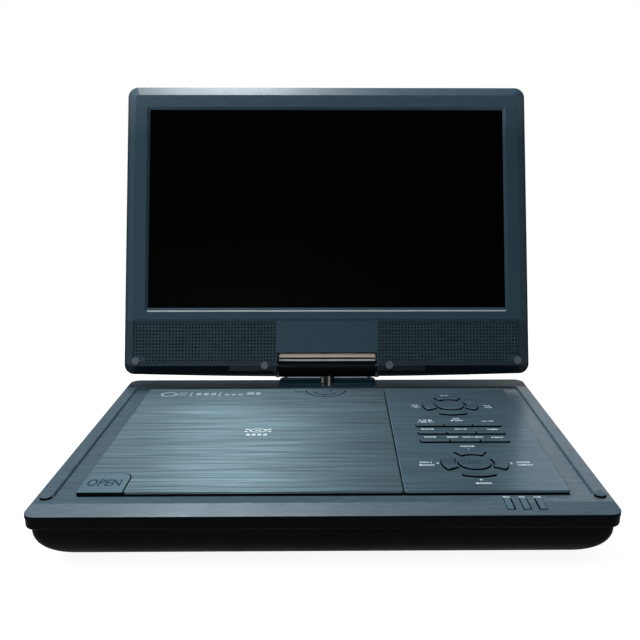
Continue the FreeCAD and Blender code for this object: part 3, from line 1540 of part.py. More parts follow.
def make_front_bezel():
    body = new_body("bezel_shell")
    doc.recompute()
    edge_front = d.face_front - d.bevel_depth
    rear = new_sketch(body, "bezel_rear", "XZ_Plane", 1.0 * d.screen_split)
    round_rectangle(rear, screen_x, screen_z, d.screen_corner)
    pad(body, "bezel_side", rear, edge_front - d.screen_split)
    section = new_sketch(body, "bezel_edge", "XZ_Plane", edge_front)
    round_rectangle(section, screen_x, screen_z, d.screen_corner)
    face = new_sketch(body, "bezel_face", "XZ_Plane", 1.0 * d.face_front)
    round_rectangle(face, face_x, face_z, d.screen_corner * 0.4)
    loft(body, "AdditiveLoft", "bezel_bevel", [section, face], ruled=True)
    bow = new_sketch(body, "bezel_bow", "XZ_Plane", 1.0 * d.screen_split)
    bow_profile(bow)
    pad(body, "bezel_bow_pad", bow, edge_front - d.screen_split - 0.4)
    inner = d.skin + 0.2
    hollow = new_sketch(body, "bezel_hollow", "XZ_Plane", 1.0 * d.screen_split)
    rectangle(hollow, (screen_x[0] + inner, screen_x[1] - inner),
              (screen_z[0] + inner, screen_z[1] - inner))
    pocket(body, "bezel_hollow_cut", hollow, 3.0, back=True)
    deep = new_sketch(body, "bezel_deep", "XZ_Plane", 1.0 * d.screen_split)
    rectangle(deep, (face_x[0] + 0.4, face_x[1] - 0.4), (face_z[0] + 0.4, face_z[1] - 0.4))
    pocket(body, "bezel_deep_cut", deep, skin_back - d.screen_split, back=True)
    doc.recompute()

    window = block("display_window", display_x, (-d.face_front - 1, -d.screen_split),
                   display_z)
    bevel = new_body("window_bevel")
    doc.recompute()
    reach = d.display_bevel
    low = new_sketch(bevel, "window_low", "XZ_Plane", skin_back + 0.4)
    rectangle(low, display_x, display_z)
    high = new_sketch(bevel, "window_high", "XZ_Plane", d.face_front + 0.01)
    rectangle(high, within(display_x, -reach, -reach), within(display_z, -reach, -reach))
    loft(bevel, "AdditiveLoft", "window_loft", [low, high], ruled=True)
    holes = [window, bevel]
    holes.append(block("bezel_notch", notch_x, (-d.face_front - 1, 0.0 * d.skin),
                       (d.screen_bottom - 5, 1.0 * d.notch_top)))
    holes.append(block("bezel_groove", (face_x[0] + 0.3, face_x[1] - 0.3),
                       (-d.face_front - 1, -d.face_front + d.groove_depth),
                       around(d.groove_z, d.groove_width)))
    for side in (-1, 1):
        span = (d.grille_inner * 1.0, d.grille_outer * 1.0)
        if side < 0:
            span = (-d.grille_outer, -d.grille_inner)
        holes.append(block(f"grille_field_{side + 1}", span,
                           (-d.face_front - 1, -d.face_front + d.grille_depth),
                           (1.0 * d.grille_low, 1.0 * d.grille_high)))
    for i, (x, z) in enumerate(cap_places()):
        holes.append(rod(f"cap_seat_{i}", (x, -d.face_front - 1, z), d.cap_radius + d.run_gap * 2,
                         d.cap_depth + 1, "y"))
    holes.append(pin_room("bezel_pin_room"))
    holes.append(sound_holes())
    extras = []
    lip_low = d.face_bottom - d.tab_drop
    for side in (-1, 1):
        near = notch_x[1]
        span = (near, near + d.tab_width)
        if side < 0:
            span = (notch_x[0] - d.tab_width, notch_x[0])
        extras.append(block(f"chin_tab_{side + 1}", span, (-d.face_front, -d.screen_split - 1.0),
                            (lip_low, d.face_bottom + 1.5)))
        wall = (near - 0.5, near + d.skin)
        if side < 0:
            wall = (notch_x[0] - d.skin, notch_x[0] + 0.5)
        extras.append(block(f"notch_wall_{side + 1}", wall, (-d.face_front + 1, -d.screen_split),
                            (d.screen_bottom + 0.5, d.notch_top + d.skin)))
    extras.append(block("notch_roof", (notch_x[0] - d.skin, notch_x[1] + d.skin),
                        (-d.face_front + 1, -d.screen_split), (d.notch_top - 0.5, d.notch_top + d.skin)))
    for i, (x, z) in enumerate(cap_places()):
        extras.append(rod(f"cap_boss_{i}", (x, -d.face_front + d.cap_depth, z), d.cap_radius * 0.9,
                          skin_back - d.cap_depth, "y"))
    whole = fuse("bezel_whole", [body] + extras)
    node("front_bezel", cut("front_bezel", whole, holes), "screen")


make_front_bezel()


def make_rear_cover():
    body = new_body("cover_shell")
    doc.recompute()
    front = new_sketch(body, "cover_outline", "XZ_Plane", 1.0 * d.screen_split)
    round_rectangle(front, screen_x, screen_z, d.screen_corner)
    pad(body, "cover_pad", front, d.screen_split + d.cover_back, back=True)
    doc.recompute()
    sill = new_body("cover_sill")
    doc.recompute()
    bow = new_sketch(sill, "cover_bow", "XZ_Plane", 1.0 * d.screen_split)
    bow_profile(bow)
    pad(sill, "cover_bow_pad", bow, d.screen_split + d.cover_back - d.cover_crown - d.cover_round, back=True)
    crown = new_body("cover_crown_tool")
    doc.recompute()
    sketch = new_sketch(crown, "crown_profile", "XY_Plane", d.screen_bottom - 9)
    bulge_profile(sketch, d.screen_width / 2 + 2, d.cover_back - d.cover_crown, 1.0 * d.cover_crown,
                  d.cover_back + 4)
    pad(crown, "crown_pad", sketch, d.screen_top - d.screen_bottom + 18)
    doc.recompute()

    crowned = cut("cover_crowned", body, [crown])
    doc.recompute()
    rear = float(d.cover_back - d.cover_crown) - 0.3

    def rear_edge(edge):
        return edge.BoundBox.YMin > rear

    rounded = doc.addObject("Part::Fillet", "cover_rounded")
    rounded.Base = crowned
    radius = float(d.cover_round)
    rounded.Edges = [(int(name[4:]), radius, radius) for name in edges_where(crowned.Shape, rear_edge)]
    doc.recompute()
    inner = d.skin
    inside = new_body("cover_inside_tool")
    doc.recompute()
    sketch = new_sketch(inside, "inside_profile", "XY_Plane", d.screen_bottom - 9)
    bulge_profile(sketch, d.screen_width / 2 + 2, d.cover_back - d.cover_crown - d.skin,
                  1.0 * d.cover_crown, d.cover_back + 4)
    pad(inside, "inside_pad", sketch, d.screen_top - d.screen_bottom + 18)
    doc.recompute()
    room = block("cover_room", (screen_x[0] + inner, screen_x[1] - inner),
                 (-d.screen_split - 1, 1.0 * d.cover_back), (screen_z[0] + inner, screen_z[1] - inner))
    hollowed = cut("cover_hollowed", rounded, [cut("cover_hollow", room, [inside])])
    walls = []
    wall_y = (-d.screen_split, d.cover_back - d.cover_crown)
    for side in (-1, 1):
        wall = (notch_x[1] - 0.5, notch_x[1] + d.skin)
        if side < 0:
            wall = (notch_x[0] - d.skin, notch_x[0] + 0.5)
        walls.append(block(f"cover_wall_{side + 1}", wall, wall_y,
                           (d.screen_bottom + 0.5, d.notch_top + d.skin)))
        near = notch_x[1] + d.skin + 0.3
        pad_x = (near, near + d.arm_reach) if side > 0 else (-near - d.arm_reach, -near)
        walls.append(block(f"arm_pad_{side + 1}", pad_x, (arm_seat, d.cover_back - d.cover_crown * 0.5),
                           (1.0 * d.notch_top, 1.0 * d.arm_height)))
    walls.append(block("cover_roof", (notch_x[0] - d.skin, notch_x[1] + d.skin), wall_y,
                       (d.notch_top - 0.5, d.notch_top + d.skin)))
    whole = fuse("cover_whole", [hollowed, sill] + walls)
    notch = block("cover_notch", notch_x, (-d.face_front, d.cover_back + 2),
                  (d.screen_bottom - 5, 1.0 * d.notch_top))
    node("rear_cover", cut("rear_cover", whole, [notch, pin_room("cover_pin_room")]), "screen")


make_rear_cover()


def make_display():
    border = d.module_border
    front = -skin_back
    back = front + d.module_depth
    module = block("module_block", (display_x[0] - border, display_x[1] + border), (front, back),
                   (display_z[0] - border, display_z[1] + border))
    node("lcd_panel", module, "screen")
    margin = border + d.tray_margin
    tray = block("tray_sheet", (display_x[0] - margin, display_x[1] + margin), (back, back + d.tray_thick),
                 (display_z[0] - margin, display_z[1] + margin))
    slots = []
    for i in (-1, 0, 1):
        slots.append(block(f"tray_slot_{i + 1}", around(d.display_width * 0.3 * i, d.display_width * 0.2),
                           (back - 1, back + d.tray_thick + 1),
                           around(d.display_bottom + d.display_height / 2, d.display_height * 0.5)))
    node("panel_frame", cut("panel_frame", tray, slots), "screen")


make_display()


def make_speakers():
    units = []
    for side in (-1, 1):
        x = d.speaker_x * side
        ring = rod(f"speaker_ring_{side + 1}", (x, -skin_back, d.speaker_z), d.speaker_radius,
                   d.speaker_depth, "y")
        bowl = rod(f"speaker_bowl_{side + 1}", (x, -skin_back - 1, d.speaker_z),
                   d.speaker_radius - d.speaker_rim, d.speaker_depth - 0.8, "y")
        magnet = rod(f"speaker_magnet_{side + 1}", (x, -skin_back + d.speaker_depth - 0.5, d.speaker_z),
                     d.speaker_radius * 0.6, d.magnet_depth, "y")
        units.append(fuse(f"speaker_{side + 1}", [cut(f"speaker_frame_{side + 1}", ring, [bowl]), magnet]))
    node("speakers", group("speakers", units), "screen")


make_speakers()


def make_screw_caps():
    caps = []
    for i, (x, z) in enumerate(cap_places()):
        caps.append(rod(f"cap_{i}", (x, -d.face_front - 0.15, z), d.cap_radius, d.cap_depth + 0.15, "y"))
    node("screw_caps", group("screw_caps", caps), "screen")


make_screw_caps()


def make_tilt_arms():
    """A pin into the barrel on each side, and the arm that fastens it to the rear cover."""
    arms = []
    for side in (-1, 1):
        def across(low, high, side=side):
            return (low * side, high * side) if side > 0 else (high * side, low * side)

        inner = notch_x[1] + d.skin + 0.3
        start = d.pin_inner if side > 0 else -(inner + 2.0)
        pin = rod(f"tilt_pin_{side + 1}", (start, 0, 0), d.pin_radius, inner + 2.0 - d.pin_inner, "x")
        seat = arm_seat
        web = block(f"arm_web_{side + 1}", across(inner, inner + d.arm_web),
                    (-d.pin_radius - 0.3, 1.0 * seat), (0.2 - d.pin_radius, 1.0 * d.arm_height))
        foot = block(f"arm_foot_{side + 1}", across(inner, inner + d.arm_reach),
                     (seat - d.arm_foot, 1.0 * seat), (1.0 * d.notch_top, 1.0 * d.arm_height))
        arms.append(fuse(f"arm_{side + 1}", [pin, web, foot]))
    node("tilt_arms", group("tilt_arms", arms), "screen")


make_tilt_arms()


# Check every object, then write one file for each node

doc.recompute()
bad = [obj.Name for obj in doc.Objects if "Invalid" in obj.State or "Error" in obj.State]
if bad:
    raise RuntimeError("failed objects: " + ", ".join(bad))
for name, obj in NODES:
    shape = obj.Shape
    if shape.isNull() or not shape.isValid() or not shape.Solids:
        raise RuntimeError("bad shape: " + name)
for name, obj in NODES:
    obj.Shape.exportStep(os.path.join("parts", name + ".step"))
print(len(NODES), "nodes written")
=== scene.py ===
import json
import math

import bmesh
import bpy
from bpy.props import FloatProperty, FloatVectorProperty, PointerProperty
from mathutils import Matrix, Vector


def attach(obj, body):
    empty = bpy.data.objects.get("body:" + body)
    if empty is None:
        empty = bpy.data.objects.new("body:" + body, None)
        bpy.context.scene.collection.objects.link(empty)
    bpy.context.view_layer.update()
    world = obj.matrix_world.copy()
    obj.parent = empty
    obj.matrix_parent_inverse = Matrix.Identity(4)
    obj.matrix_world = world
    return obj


bl_info = {
    "name": "Portable Disc Player",
    "version": (1, 0, 0),
    "blender": (4, 5, 0),
    "location": "View3D > Sidebar > Disc Player",
    "description": "Dresses the packed disc player: finishes, sound dots, marks and a small studio",
    "category": "Object",
}

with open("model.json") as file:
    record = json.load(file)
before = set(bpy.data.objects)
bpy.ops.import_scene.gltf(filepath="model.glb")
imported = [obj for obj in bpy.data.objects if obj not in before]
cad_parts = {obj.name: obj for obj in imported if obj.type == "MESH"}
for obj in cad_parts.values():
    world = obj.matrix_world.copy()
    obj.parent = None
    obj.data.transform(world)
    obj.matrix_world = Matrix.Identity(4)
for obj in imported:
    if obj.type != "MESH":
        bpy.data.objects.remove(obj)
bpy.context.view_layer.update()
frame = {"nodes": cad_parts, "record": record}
NODES = frame["nodes"]
JOINTS = {joint["name"]: joint for joint in frame["record"]["behaviour"]["joints"]}
MM = 0.001


# Sizes and colours that a user would change

def shade(red, green, blue):
    """A colour as seen on a display, 0 to 255, turned into Blender's own linear values."""
    channels = []
    for value in (red, green, blue):
        v = value / 255
        channels.append(v / 12.92 if v <= 0.04045 else ((v + 0.055) / 1.055) ** 2.4)
    return tuple(channels)


def a_colour(description, red, green, blue):
    return FloatVectorProperty(
        description=description, subtype="COLOR", size=3, min=0, max=1, default=shade(red, green, blue))


def a_length(description, millimetres):
    return FloatProperty(description=description, unit="LENGTH", precision=5, default=millimetres * MM)


def an_angle(description, degrees):
    return FloatProperty(description=description, unit="ROTATION", default=math.radians(degrees))


def a_number(description, value):
    return FloatProperty(description=description, default=value)


class PlayerColours(bpy.types.PropertyGroup):
    housing: a_colour("Paint of the screen's front frame", 51, 75, 91)
    # Chin: the housing paint darkened as painted shade on the screen's lower front
    chin: a_colour("Paint of the screen's front below its top", 44, 61, 69)
    rear: a_colour("Paint of the screen's back", 52, 57, 56)
    deck: a_colour("Paint of the rim around the lid and keys", 66, 87, 100)
    # Seat: a darker copy of the deck paint, as painted shade under the screen
    seat: a_colour("Paint of the seat around the post", 33, 55, 68)
    plate: a_colour("Mean colour of the brushed lid", 75, 96, 106)
    panel: a_colour("Mean colour of the brushed key panel", 86, 115, 133)
    streak: a_colour("Light streaks in the brushed plates", 101, 127, 137)
    # Edge: black painted as shade on the walls of the plates, keys and stops, the rim's outer walls, the
    # window frames and the stop gaps; also the barrel's dark seam
    edge: a_colour("Black moulding under the brushed plates", 5, 8, 12)
    case: a_colour("Black moulded plastic", 8, 7, 8)
    mark: a_colour("Printed symbols around the keys", 205, 220, 228)
    pale_mark: a_colour("Symbols along the back of the lid", 160, 186, 196)
    # Engraved: painted shade that stands in for the grooves of the words and the swivel sign
    engraved: a_colour("Dark grooves in the lid and keys", 52, 70, 82)
    # Warm: the barrel's back half in a warm tone, made pale as a painted reflection
    warm: a_colour("Warm metal on the back half of the barrel", 255, 236, 214)
    # Trim: painted highlights for the lit bevel below the display and the lit edge along the barrel
    trim: a_colour("Bright lines below the display and on the barrel", 176, 188, 192)
    display: a_colour("Dark glass of the screen", 1, 1, 1)


class PlayerSizes(bpy.types.PropertyGroup):
    screen_lean: an_angle("How far the screen leans back at rest", 16.8)
    dot_pitch: a_length("Distance between the sound dots", 2.04)
    dot_width: a_length("Width of one sound dot", 1.1)
    dot_depth: a_length("Depth of one sound dot", 0.4)
    field_inner: a_length("Distance of the dots from the middle", 31.8)
    field_outer: a_length("Outer end of the dots from the middle", 120.8)
    field_low: a_length("Bottom of the dots above the hinge axis", 0.5)
    field_high: a_length("Top of the dots above the hinge axis", 27.2)
    speaker_x: a_length("Distance of each speaker from the middle", 90.0)
    speaker_z: a_length("Height of the speakers above the hinge axis", 15.3)
    speaker_reach: a_length("Radius in which the dots are open to the speaker", 10.6)
    face_front: a_length("Distance of the screen's face from the hinge axis", 10.0)
    trim_half: a_length("Half of the bright line's length", 112.35)
    trim_low: a_length("Height of the bright line above the hinge axis", 33.4)
    trim_width: a_length("Height of the bright line", 0.9)
    lip_deep: a_length("Distance of the lip behind the hinge axis", 5.5)
    notch_half: a_length("Half of the notch's width", 31.15)
    notch_roof: a_length("Roof of the notch above the hinge axis", 7.85)
    barrel_half: a_length("Half of the barrel's length with its clearance", 30.55)
    barrel_radius: a_length("Radius of the hinge barrel", 7.5)
    # The barrel's line between the first two angles is a painted highlight, and the seam above it is black
    line_first: a_number("Lower angle of the barrel's line", 37.0)
    line_last: a_number("Upper angle of the barrel's line", 47.0)
    seam_last: a_number("Upper angle of the barrel's seam", 56.5)
    seat_half: a_length("Half of the width of the seat around the post", 30.8)
    seat_front: a_length("Front of the seat from the post's axis", -4.2)
    seat_back: a_length("Back of the seat from the post's axis", 10.2)
    seat_top: a_length("Top of the seat above the table", 27.2)
    mark_height: a_length("How far a printed mark stands off its surface", 0.03)
    plate_top: a_length("Top of the lid and panel above the table", 26.8)
    rim_top: a_length("Top of the rim above the table", 25.2)
    key_top: a_length("Top of the keys above the table", 27.6)
    slope_back: a_length("Where the front slope starts, from the middle", -105.4)
    slope_front: a_length("Front edge of the slope, from the middle", -117.77)
    rim_back: a_length("Where the rim behind the lid starts, from the middle", 54.5)
    slope_low: a_length("Height of the slope's front edge above the table", 24.85)
    chin_top: a_length("Top of the chin above the table", 67.2)
    bezel_side: a_length("Start of the dark edges, from the middle", 125.8)
    # The frame keeps its lit colour above bezel_lit; beside bezel_side and below bezel_foot it is painted
    # dark as shade
    bezel_lit: a_length("Height of the brighter top of the screen's frame", 194.0)
    bezel_foot: a_length("Height of the line above the dark lower bevel", 40.6)
    stop_x: a_length("Distance of the rubber stops from the middle", 122.1)
    stop_y: a_length("Rubber stops behind the middle of the base", -76.0)
    stop_top: a_length("Top of the rubber stops above the table", 26.1)
    base_shift: a_length("Middle of the base from the middle of the whole", -23.48)
    base_half_x: a_length("Half of the base's width", 127.59)
    base_half_y: a_length("Half of the base's depth", 94.29)
    window_back: a_length("From the window signs forward to the windows", 6.6)
    symbol: a_length("Height of one printed symbol", 1.9)


class StudioSettings(bpy.types.PropertyGroup):
    camera_x: a_length("Camera to the right of the middle", 4.67)
    camera_y: a_length("Camera in front of the object", -416.47)
    camera_z: a_length("Camera above the table", 179.99)
    pitch: an_angle("Camera tilt downwards", 13.28)
    yaw: an_angle("Camera turn to the right", 0.649)
    roll: an_angle("Camera roll", 0.053)
    lens: a_number("Focal length in millimetres", 43.86)
    shift_x: a_number("Sideways shift of the picture", -0.0361)
    key_light: a_number("Watts of the lamp on the left", 1.8)
    window_light: a_number("Watts of the large lamp behind the screen", 8.0)
    side_light: a_number("Watts of the lamp behind on the right", 1.3)
    fill_light: a_number("Watts of the low lamp in front", 2.0)
    sky: a_number("Strength of the even light from all sides", 0.3)
    ceiling: a_number("Strength of the ceiling in reflections", 0.2)


def colours():
    return bpy.context.scene.player_colours


def sizes():
    return bpy.context.scene.player_sizes


def studio():
    return bpy.context.scene.player_studio


# Shader tools

# Most of a noise lies in its span. BLUR is the width of a sharp step between two finishes
NOISE_SPAN = (0.3, 0.7)
BLUR = 0.05 * MM
ROUNDING = 0.4 * MM
ROUNDING_RAYS = 6
FINE_ROUNDING = 0.3 * MM
LOOKS = {
    "colour": "Base Color", "roughness": "Roughness", "metal": "Metallic", "specular": "Specular IOR Level",
    "tint": "Specular Tint", "spread": "Anisotropic", "tangent": "Tangent", "normal": "Normal",
}


def open_finish(material):
    """The node tree of a material and its main shader."""
    return material.node_tree, material.node_tree.nodes["Principled BSDF"]


def start_finish(name):
    """A new material with its node tree and its main shader."""
    material = bpy.data.materials.new(name)
    material.use_nodes = True
    return material, *open_finish(material)


def feed(socket, value):
    """Links a socket to another one, or sets it to a plain number or colour."""
    if isinstance(value, bpy.types.NodeSocket):
        socket.id_data.links.new(value, socket)
    elif socket.type == "RGBA":
        socket.default_value = (*value, 1.0)
    else:
        socket.default_value = value


def add_node(tree, kind, **settings):
    """A new node, its inputs fed and its other settings set by name."""
    node = tree.nodes.new("ShaderNode" + kind)
    for name, value in settings.items():
        if name in node.inputs:
            feed(node.inputs[name], value)
        else:
            setattr(node, name, value)
    return node


def dress(shader, **looks):
    """Feeds the inputs of a main shader, by the short names in LOOKS."""
    for name, value in looks.items():
        feed(shader.inputs[LOOKS[name]], value)


def work_out(operation, *values):
    """The result of a sum on a socket and, where it takes two, another socket or a number."""
    node = add_node(values[0].id_data, "Math", operation=operation)
    for socket, value in zip(node.inputs, values):
        feed(socket, value)
    return node.outputs[0]


def object_place(tree):
    return add_node(tree, "TexCoord").outputs["Object"]


def split_place(tree):
    """The three object coordinates of a point on the surface."""
    return add_node(tree, "SeparateXYZ", Vector=object_place(tree)).outputs


def stretched_noise(tree, scale, detail, roughness, stretch=(1.0, 1.0, 1.0)):
    """Noise on object coordinates, in spots per metre, longer where its stretch is small."""
    place = add_node(tree, "Mapping", Scale=stretch, Vector=object_place(tree))
    noise = add_node(tree, "TexNoise", Scale=scale, Detail=detail, Roughness=roughness,
                     Vector=place.outputs["Vector"])
    return noise.outputs["Fac"]


def blend(kind, socket_type, factor, first, second):
    """A mix of two values of one kind, taken from the sockets of that kind."""
    node = add_node(factor.id_data, "Mix", data_type=kind)
    ends = [socket for socket in node.inputs if socket.type == socket_type and socket.name in ("A", "B")]
    for socket, value in zip([node.inputs["Factor"], *ends], (factor, first, second)):
        feed(socket, value)
    return next(socket for socket in node.outputs if socket.type == socket_type)


def mix_colours(factor, first, second):
    """The first colour where the factor is 0 and the second where it is 1."""
    return blend("RGBA", "RGBA", factor, first, second)


def choose(factor, first, second):
    """The first strength where the factor is 0 and the second where it is 1."""
    return blend("FLOAT", "VALUE", factor, first, second)


def remap(value, span, to_low=0.0, to_high=1.0):
    """A value that runs over the span, brought to the range between two others."""
    node = add_node(value.id_data, "MapRange")
    names = ("Value", "From Min", "From Max", "To Min", "To Max")
    for name, part in zip(names, (value, *span, to_low, to_high)):
        feed(node.inputs[name], part)
    return node.outputs["Result"]


def vary(noise, low, high):
    """A strength that follows a noise between two limits."""
    return remap(noise, NOISE_SPAN, low, high)


def past(value, limit, blur=BLUR):
    """One where a value is over a limit and zero where it is under it."""
    return remap(value, (limit - blur, limit + blur))


def above(tree, height, blur=BLUR):
    """One above a height over the table, for a piece whose top is finished another way."""
    return past(split_place(tree)["Z"], height, blur)


def beside(tree, distance, blur=BLUR):
    """One where a piece is further from the middle, to either side, than a distance."""
    return past(work_out("ABSOLUTE", split_place(tree)["X"]), distance, blur)


def rounded_normal(tree, radius=ROUNDING):
    """The surface normal, rounded over the edges so that they catch the light."""
    bevel = add_node(tree, "Bevel", Radius=radius)
    bevel.samples = ROUNDING_RAYS
    return bevel.outputs["Normal"]


def leaning_normal(tree, lean):
    """The rounded surface normal, leaning back by the given share, or forward if it is negative."""
    tilt = add_node(tree, "CombineXYZ", Y=lean)
    leaning = add_node(tree, "VectorMath", operation="ADD")
    feed(leaning.inputs[0], rounded_normal(tree))
    feed(leaning.inputs[1], tilt.outputs[0])
    return leaning.outputs[0]


def raise_bumps(shader, height, depth, strength, normal=None):
    """Bumps on the surface, or on a normal that is rounded or leaning already."""
    bump = add_node(shader.id_data, "Bump", Strength=strength, Distance=depth, Height=height)
    if normal is not None:
        feed(bump.inputs["Normal"], normal)
    dress(shader, normal=bump.outputs["Normal"])


def darker(colour, share):
    return tuple(channel * share for channel in colour)


def darken_where(shader, factor, dark):
    """Keeps a shader's colour where the factor is 1 and makes it dark where the factor is 0."""
    kept = shader.inputs["Base Color"].links[0].from_socket
    dress(shader, colour=mix_colours(factor, dark, kept))


# Finishes

# Brushed metal: spots per metre, drawn out from side to side
BROAD_GRAIN = 1000
FINE_GRAIN = 2000
BRUSHING = (0.02, 1.0, 1.0)
PATCHES = 90
PATCH_STRETCH = (0.3, 1.0, 1.0)
GRAIN_DEPTH = 0.02 * MM


def brushed_finish(name, base, streak, top, contrast=0.8, roughness=0.46, metal=0.54):
    """Plate with a fine brushed grain from side to side, its walls below the top painted black as shade."""
    material, tree, shader = start_finish(name)
    broad = stretched_noise(tree, BROAD_GRAIN, 1.0, 0.6, BRUSHING)
    fine = stretched_noise(tree, FINE_GRAIN, 1.0, 0.6, BRUSHING)
    patch = stretched_noise(tree, PATCHES, 2.0, 0.5, PATCH_STRETCH)
    streaks = remap(broad, (0.38, 0.62))
    mixed = mix_colours(streaks, darker(base, 1.0 - 0.22 * contrast), streak)
    lines = remap(fine, (0.34, 0.66), 0.0, 0.5 * contrast)
    grain = mix_colours(lines, mixed, darker(base, 0.6))
    worn = remap(patch, (0.4, 0.7), 0.0, 0.12 * contrast)
    tone = mix_colours(worn, grain, darker(base, 0.55))
    # Below the brushed face the walls are painted black as shade
    face = above(tree, top)
    glint = remap(streaks, (0, 1), metal * (1.0 - 0.5 * contrast), metal * (1.0 + 0.5 * contrast))
    # The brushing runs from side to side, so highlights spread from front to back
    across = add_node(tree, "CombineXYZ", Y=1.0)
    dress(shader,
          colour=mix_colours(face, colours().edge, tone),
          roughness=vary(fine, roughness - 0.05, roughness + 0.07),
          specular=choose(face, 0.02, 0.3),
          metal=choose(face, 0.0, glint), spread=0.85, tangent=across.outputs[0])
    raise_bumps(shader, fine, GRAIN_DEPTH, 0.4)
    return material


# Paint: spots per metre of its flakes, clouds and grain, and the tints of its shine
FLAKES = 5200
FLAKE_DEPTH = 0.012 * MM
FLAKE_STRENGTH = 0.35
CLOUDS = 24
PAINT_GRAIN = 480
PAINT_GRAIN_STRETCH = (0.25, 1.0, 1.0)
COOL_SHINE = (0.84, 0.96, 1.0)
COOLER_SHINE = (0.8, 0.93, 1.0)
# Rim: lean of the slope's shading, its lip behind the front edge, and its walls, painted black as shade,
# inside the base's edge
SLOPE_LEAN = -0.24
LIP_START = 2.2 * MM
LIP_FULL = 0.8 * MM
WALL_START = 3.8 * MM


def paint_shader(shader, base, roughness, normal=None):
    """Satin paint with small flakes that stand out of the surface: its colour and its flakes."""
    tree = shader.id_data
    flakes = stretched_noise(tree, FLAKES, 1.0, 0.4)
    cloud = stretched_noise(tree, CLOUDS, 3.0, 0.55)
    grain = stretched_noise(tree, PAINT_GRAIN, 2.0, 0.65, PAINT_GRAIN_STRETCH)
    light = tuple(min(1.0, channel * 1.5 + 0.003) for channel in base)
    speckled = mix_colours(remap(flakes, (0.35, 0.75), 0.0, 0.5), base, light)
    clouded = mix_colours(vary(cloud, 0.0, 0.14), speckled, darker(base, 0.75))
    tone = mix_colours(remap(grain, (0.35, 0.65), 0.0, 0.5), clouded, darker(base, 0.5))
    dress(shader, roughness=vary(cloud, roughness - 0.03, roughness + 0.05))
    raise_bumps(shader, flakes, FLAKE_DEPTH, FLAKE_STRENGTH, normal)
    return tone, flakes


def paint_finish(name, base, roughness, specular=0.3, rounded=True):
    """Plain satin paint, its edges rounded unless it is for a piece without any."""
    material, tree, shader = start_finish(name)
    edges = rounded_normal(tree) if rounded else None
    tone, _ = paint_shader(shader, base, roughness, edges)
    dress(shader, colour=tone, specular=specular)
    return material


def housing_finish(name, base):
    """Paint of the screen's front: duller below its top and darker there as painted shade, dark at the chin's
    ends, and painted dark as shade on the side edges and the lower bevel.
    """
    s = sizes()
    material, tree, shader = start_finish(name)
    tone, flakes = paint_shader(shader, base, 0.4, rounded_normal(tree))
    # Below the lit top the paint turns to the chin colour, darkened as painted shade
    lit = above(tree, s.bezel_lit, blur=15 * MM)
    below = mix_colours(flakes, colours().chin, darker(base, 0.9))
    fading = mix_colours(lit, below, tone)
    chin_ends = choose(above(tree, s.chin_top, blur=0.3 * MM), beside(tree, s.field_inner), 0.0)
    chin = mix_colours(chin_ends, fading, darker(colours().chin, 0.75))
    # Painted shade on the side edges, and below the foot line on the lower bevel
    shaded_sides = mix_colours(beside(tree, s.bezel_side, blur=0.7 * MM), chin, darker(base, 0.3))
    whole = mix_colours(above(tree, s.bezel_foot, blur=0.4 * MM), darker(base, 0.1), shaded_sides)
    dress(shader, colour=whole, specular=choose(lit, 0.06, 0.4), tint=COOL_SHINE)
    return material


def on_rim_walls(tree):
    """One on the outer walls of the rim below its top, zero on its top and in the recess."""
    s = sizes()
    place = split_place(tree)
    outside = []
    for axis, centre, half in (("X", 0.0, s.base_half_x), ("Y", s.base_shift, s.base_half_y)):
        distance = work_out("ABSOLUTE", work_out("SUBTRACT", place[axis], centre))
        outside.append(past(distance, half - WALL_START, blur=0.2 * MM))
    low = remap(place["Z"], (s.slope_low - BLUR, s.slope_low + BLUR), 1.0, 0.0)
    return work_out("MULTIPLY", work_out("MAXIMUM", *outside), low)


def deck_finish(name, base):
    """Paint of the rim: a bright front slope, a back darkened as painted shade and outer walls painted black
    as shade.
    """
    s = sizes()
    material, tree, shader = start_finish(name)
    depth = split_place(tree)["Y"]
    flat = past(depth, s.slope_back, blur=0.3 * MM)
    leaning = leaning_normal(tree, choose(flat, SLOPE_LEAN, 0.0))
    tone, _ = paint_shader(shader, base, 0.42, leaning)
    back = past(depth, s.rim_back, blur=1 * MM)
    lip = remap(depth, (s.slope_front + LIP_START, s.slope_front + LIP_FULL))
    wall = on_rim_walls(tree)
    # Painted shade on the rim behind the lid, black painted shade on its outer walls
    shaded = mix_colours(back, tone, darker(base, 0.4))
    sloping = choose(flat, choose(lip, 0.38, 1.0), 0.09)
    shine = choose(wall, choose(back, sloping, 0.02), 0.02)
    dress(shader, colour=mix_colours(wall, shaded, colours().edge), specular=shine,
          tint=COOLER_SHINE)
    return material


# Spots per metre in the other finishes
WEAR = 30
DUST = 1400
METAL_GRAIN = 2200
SMEARS = 18
TRACKS = 180
INK_GRAIN = 2500


def moulded_finish(name, base, roughness, grain=900, depth=0.03 * MM, specular=0.4):
    """Moulded plastic with a spark-eroded grain."""
    material, tree, shader = start_finish(name)
    spark = stretched_noise(tree, grain, 3.0, 0.6)
    wear = stretched_noise(tree, WEAR, 3.0, 0.6)
    tone = mix_colours(vary(spark, 0.0, 0.5), base, darker(base, 1.5))
    rough = vary(wear, roughness - 0.05, roughness + 0.08)
    dress(shader, colour=tone, roughness=rough, specular=specular)
    raise_bumps(shader, spark, depth, 0.5, rounded_normal(tree))
    return material


def rubber_finish(name, base):
    """Matt rubber with a little dust."""
    material, tree, shader = start_finish(name)
    dust = stretched_noise(tree, DUST, 4.0, 0.7)
    tone = mix_colours(remap(dust, (0.35, 0.7), 0.0, 0.6), base, darker(base, 1.8))
    dress(shader, colour=tone, roughness=0.75, specular=0.25)
    raise_bumps(shader, dust, 0.04 * MM, 0.5, rounded_normal(tree, FINE_ROUNDING))
    return material


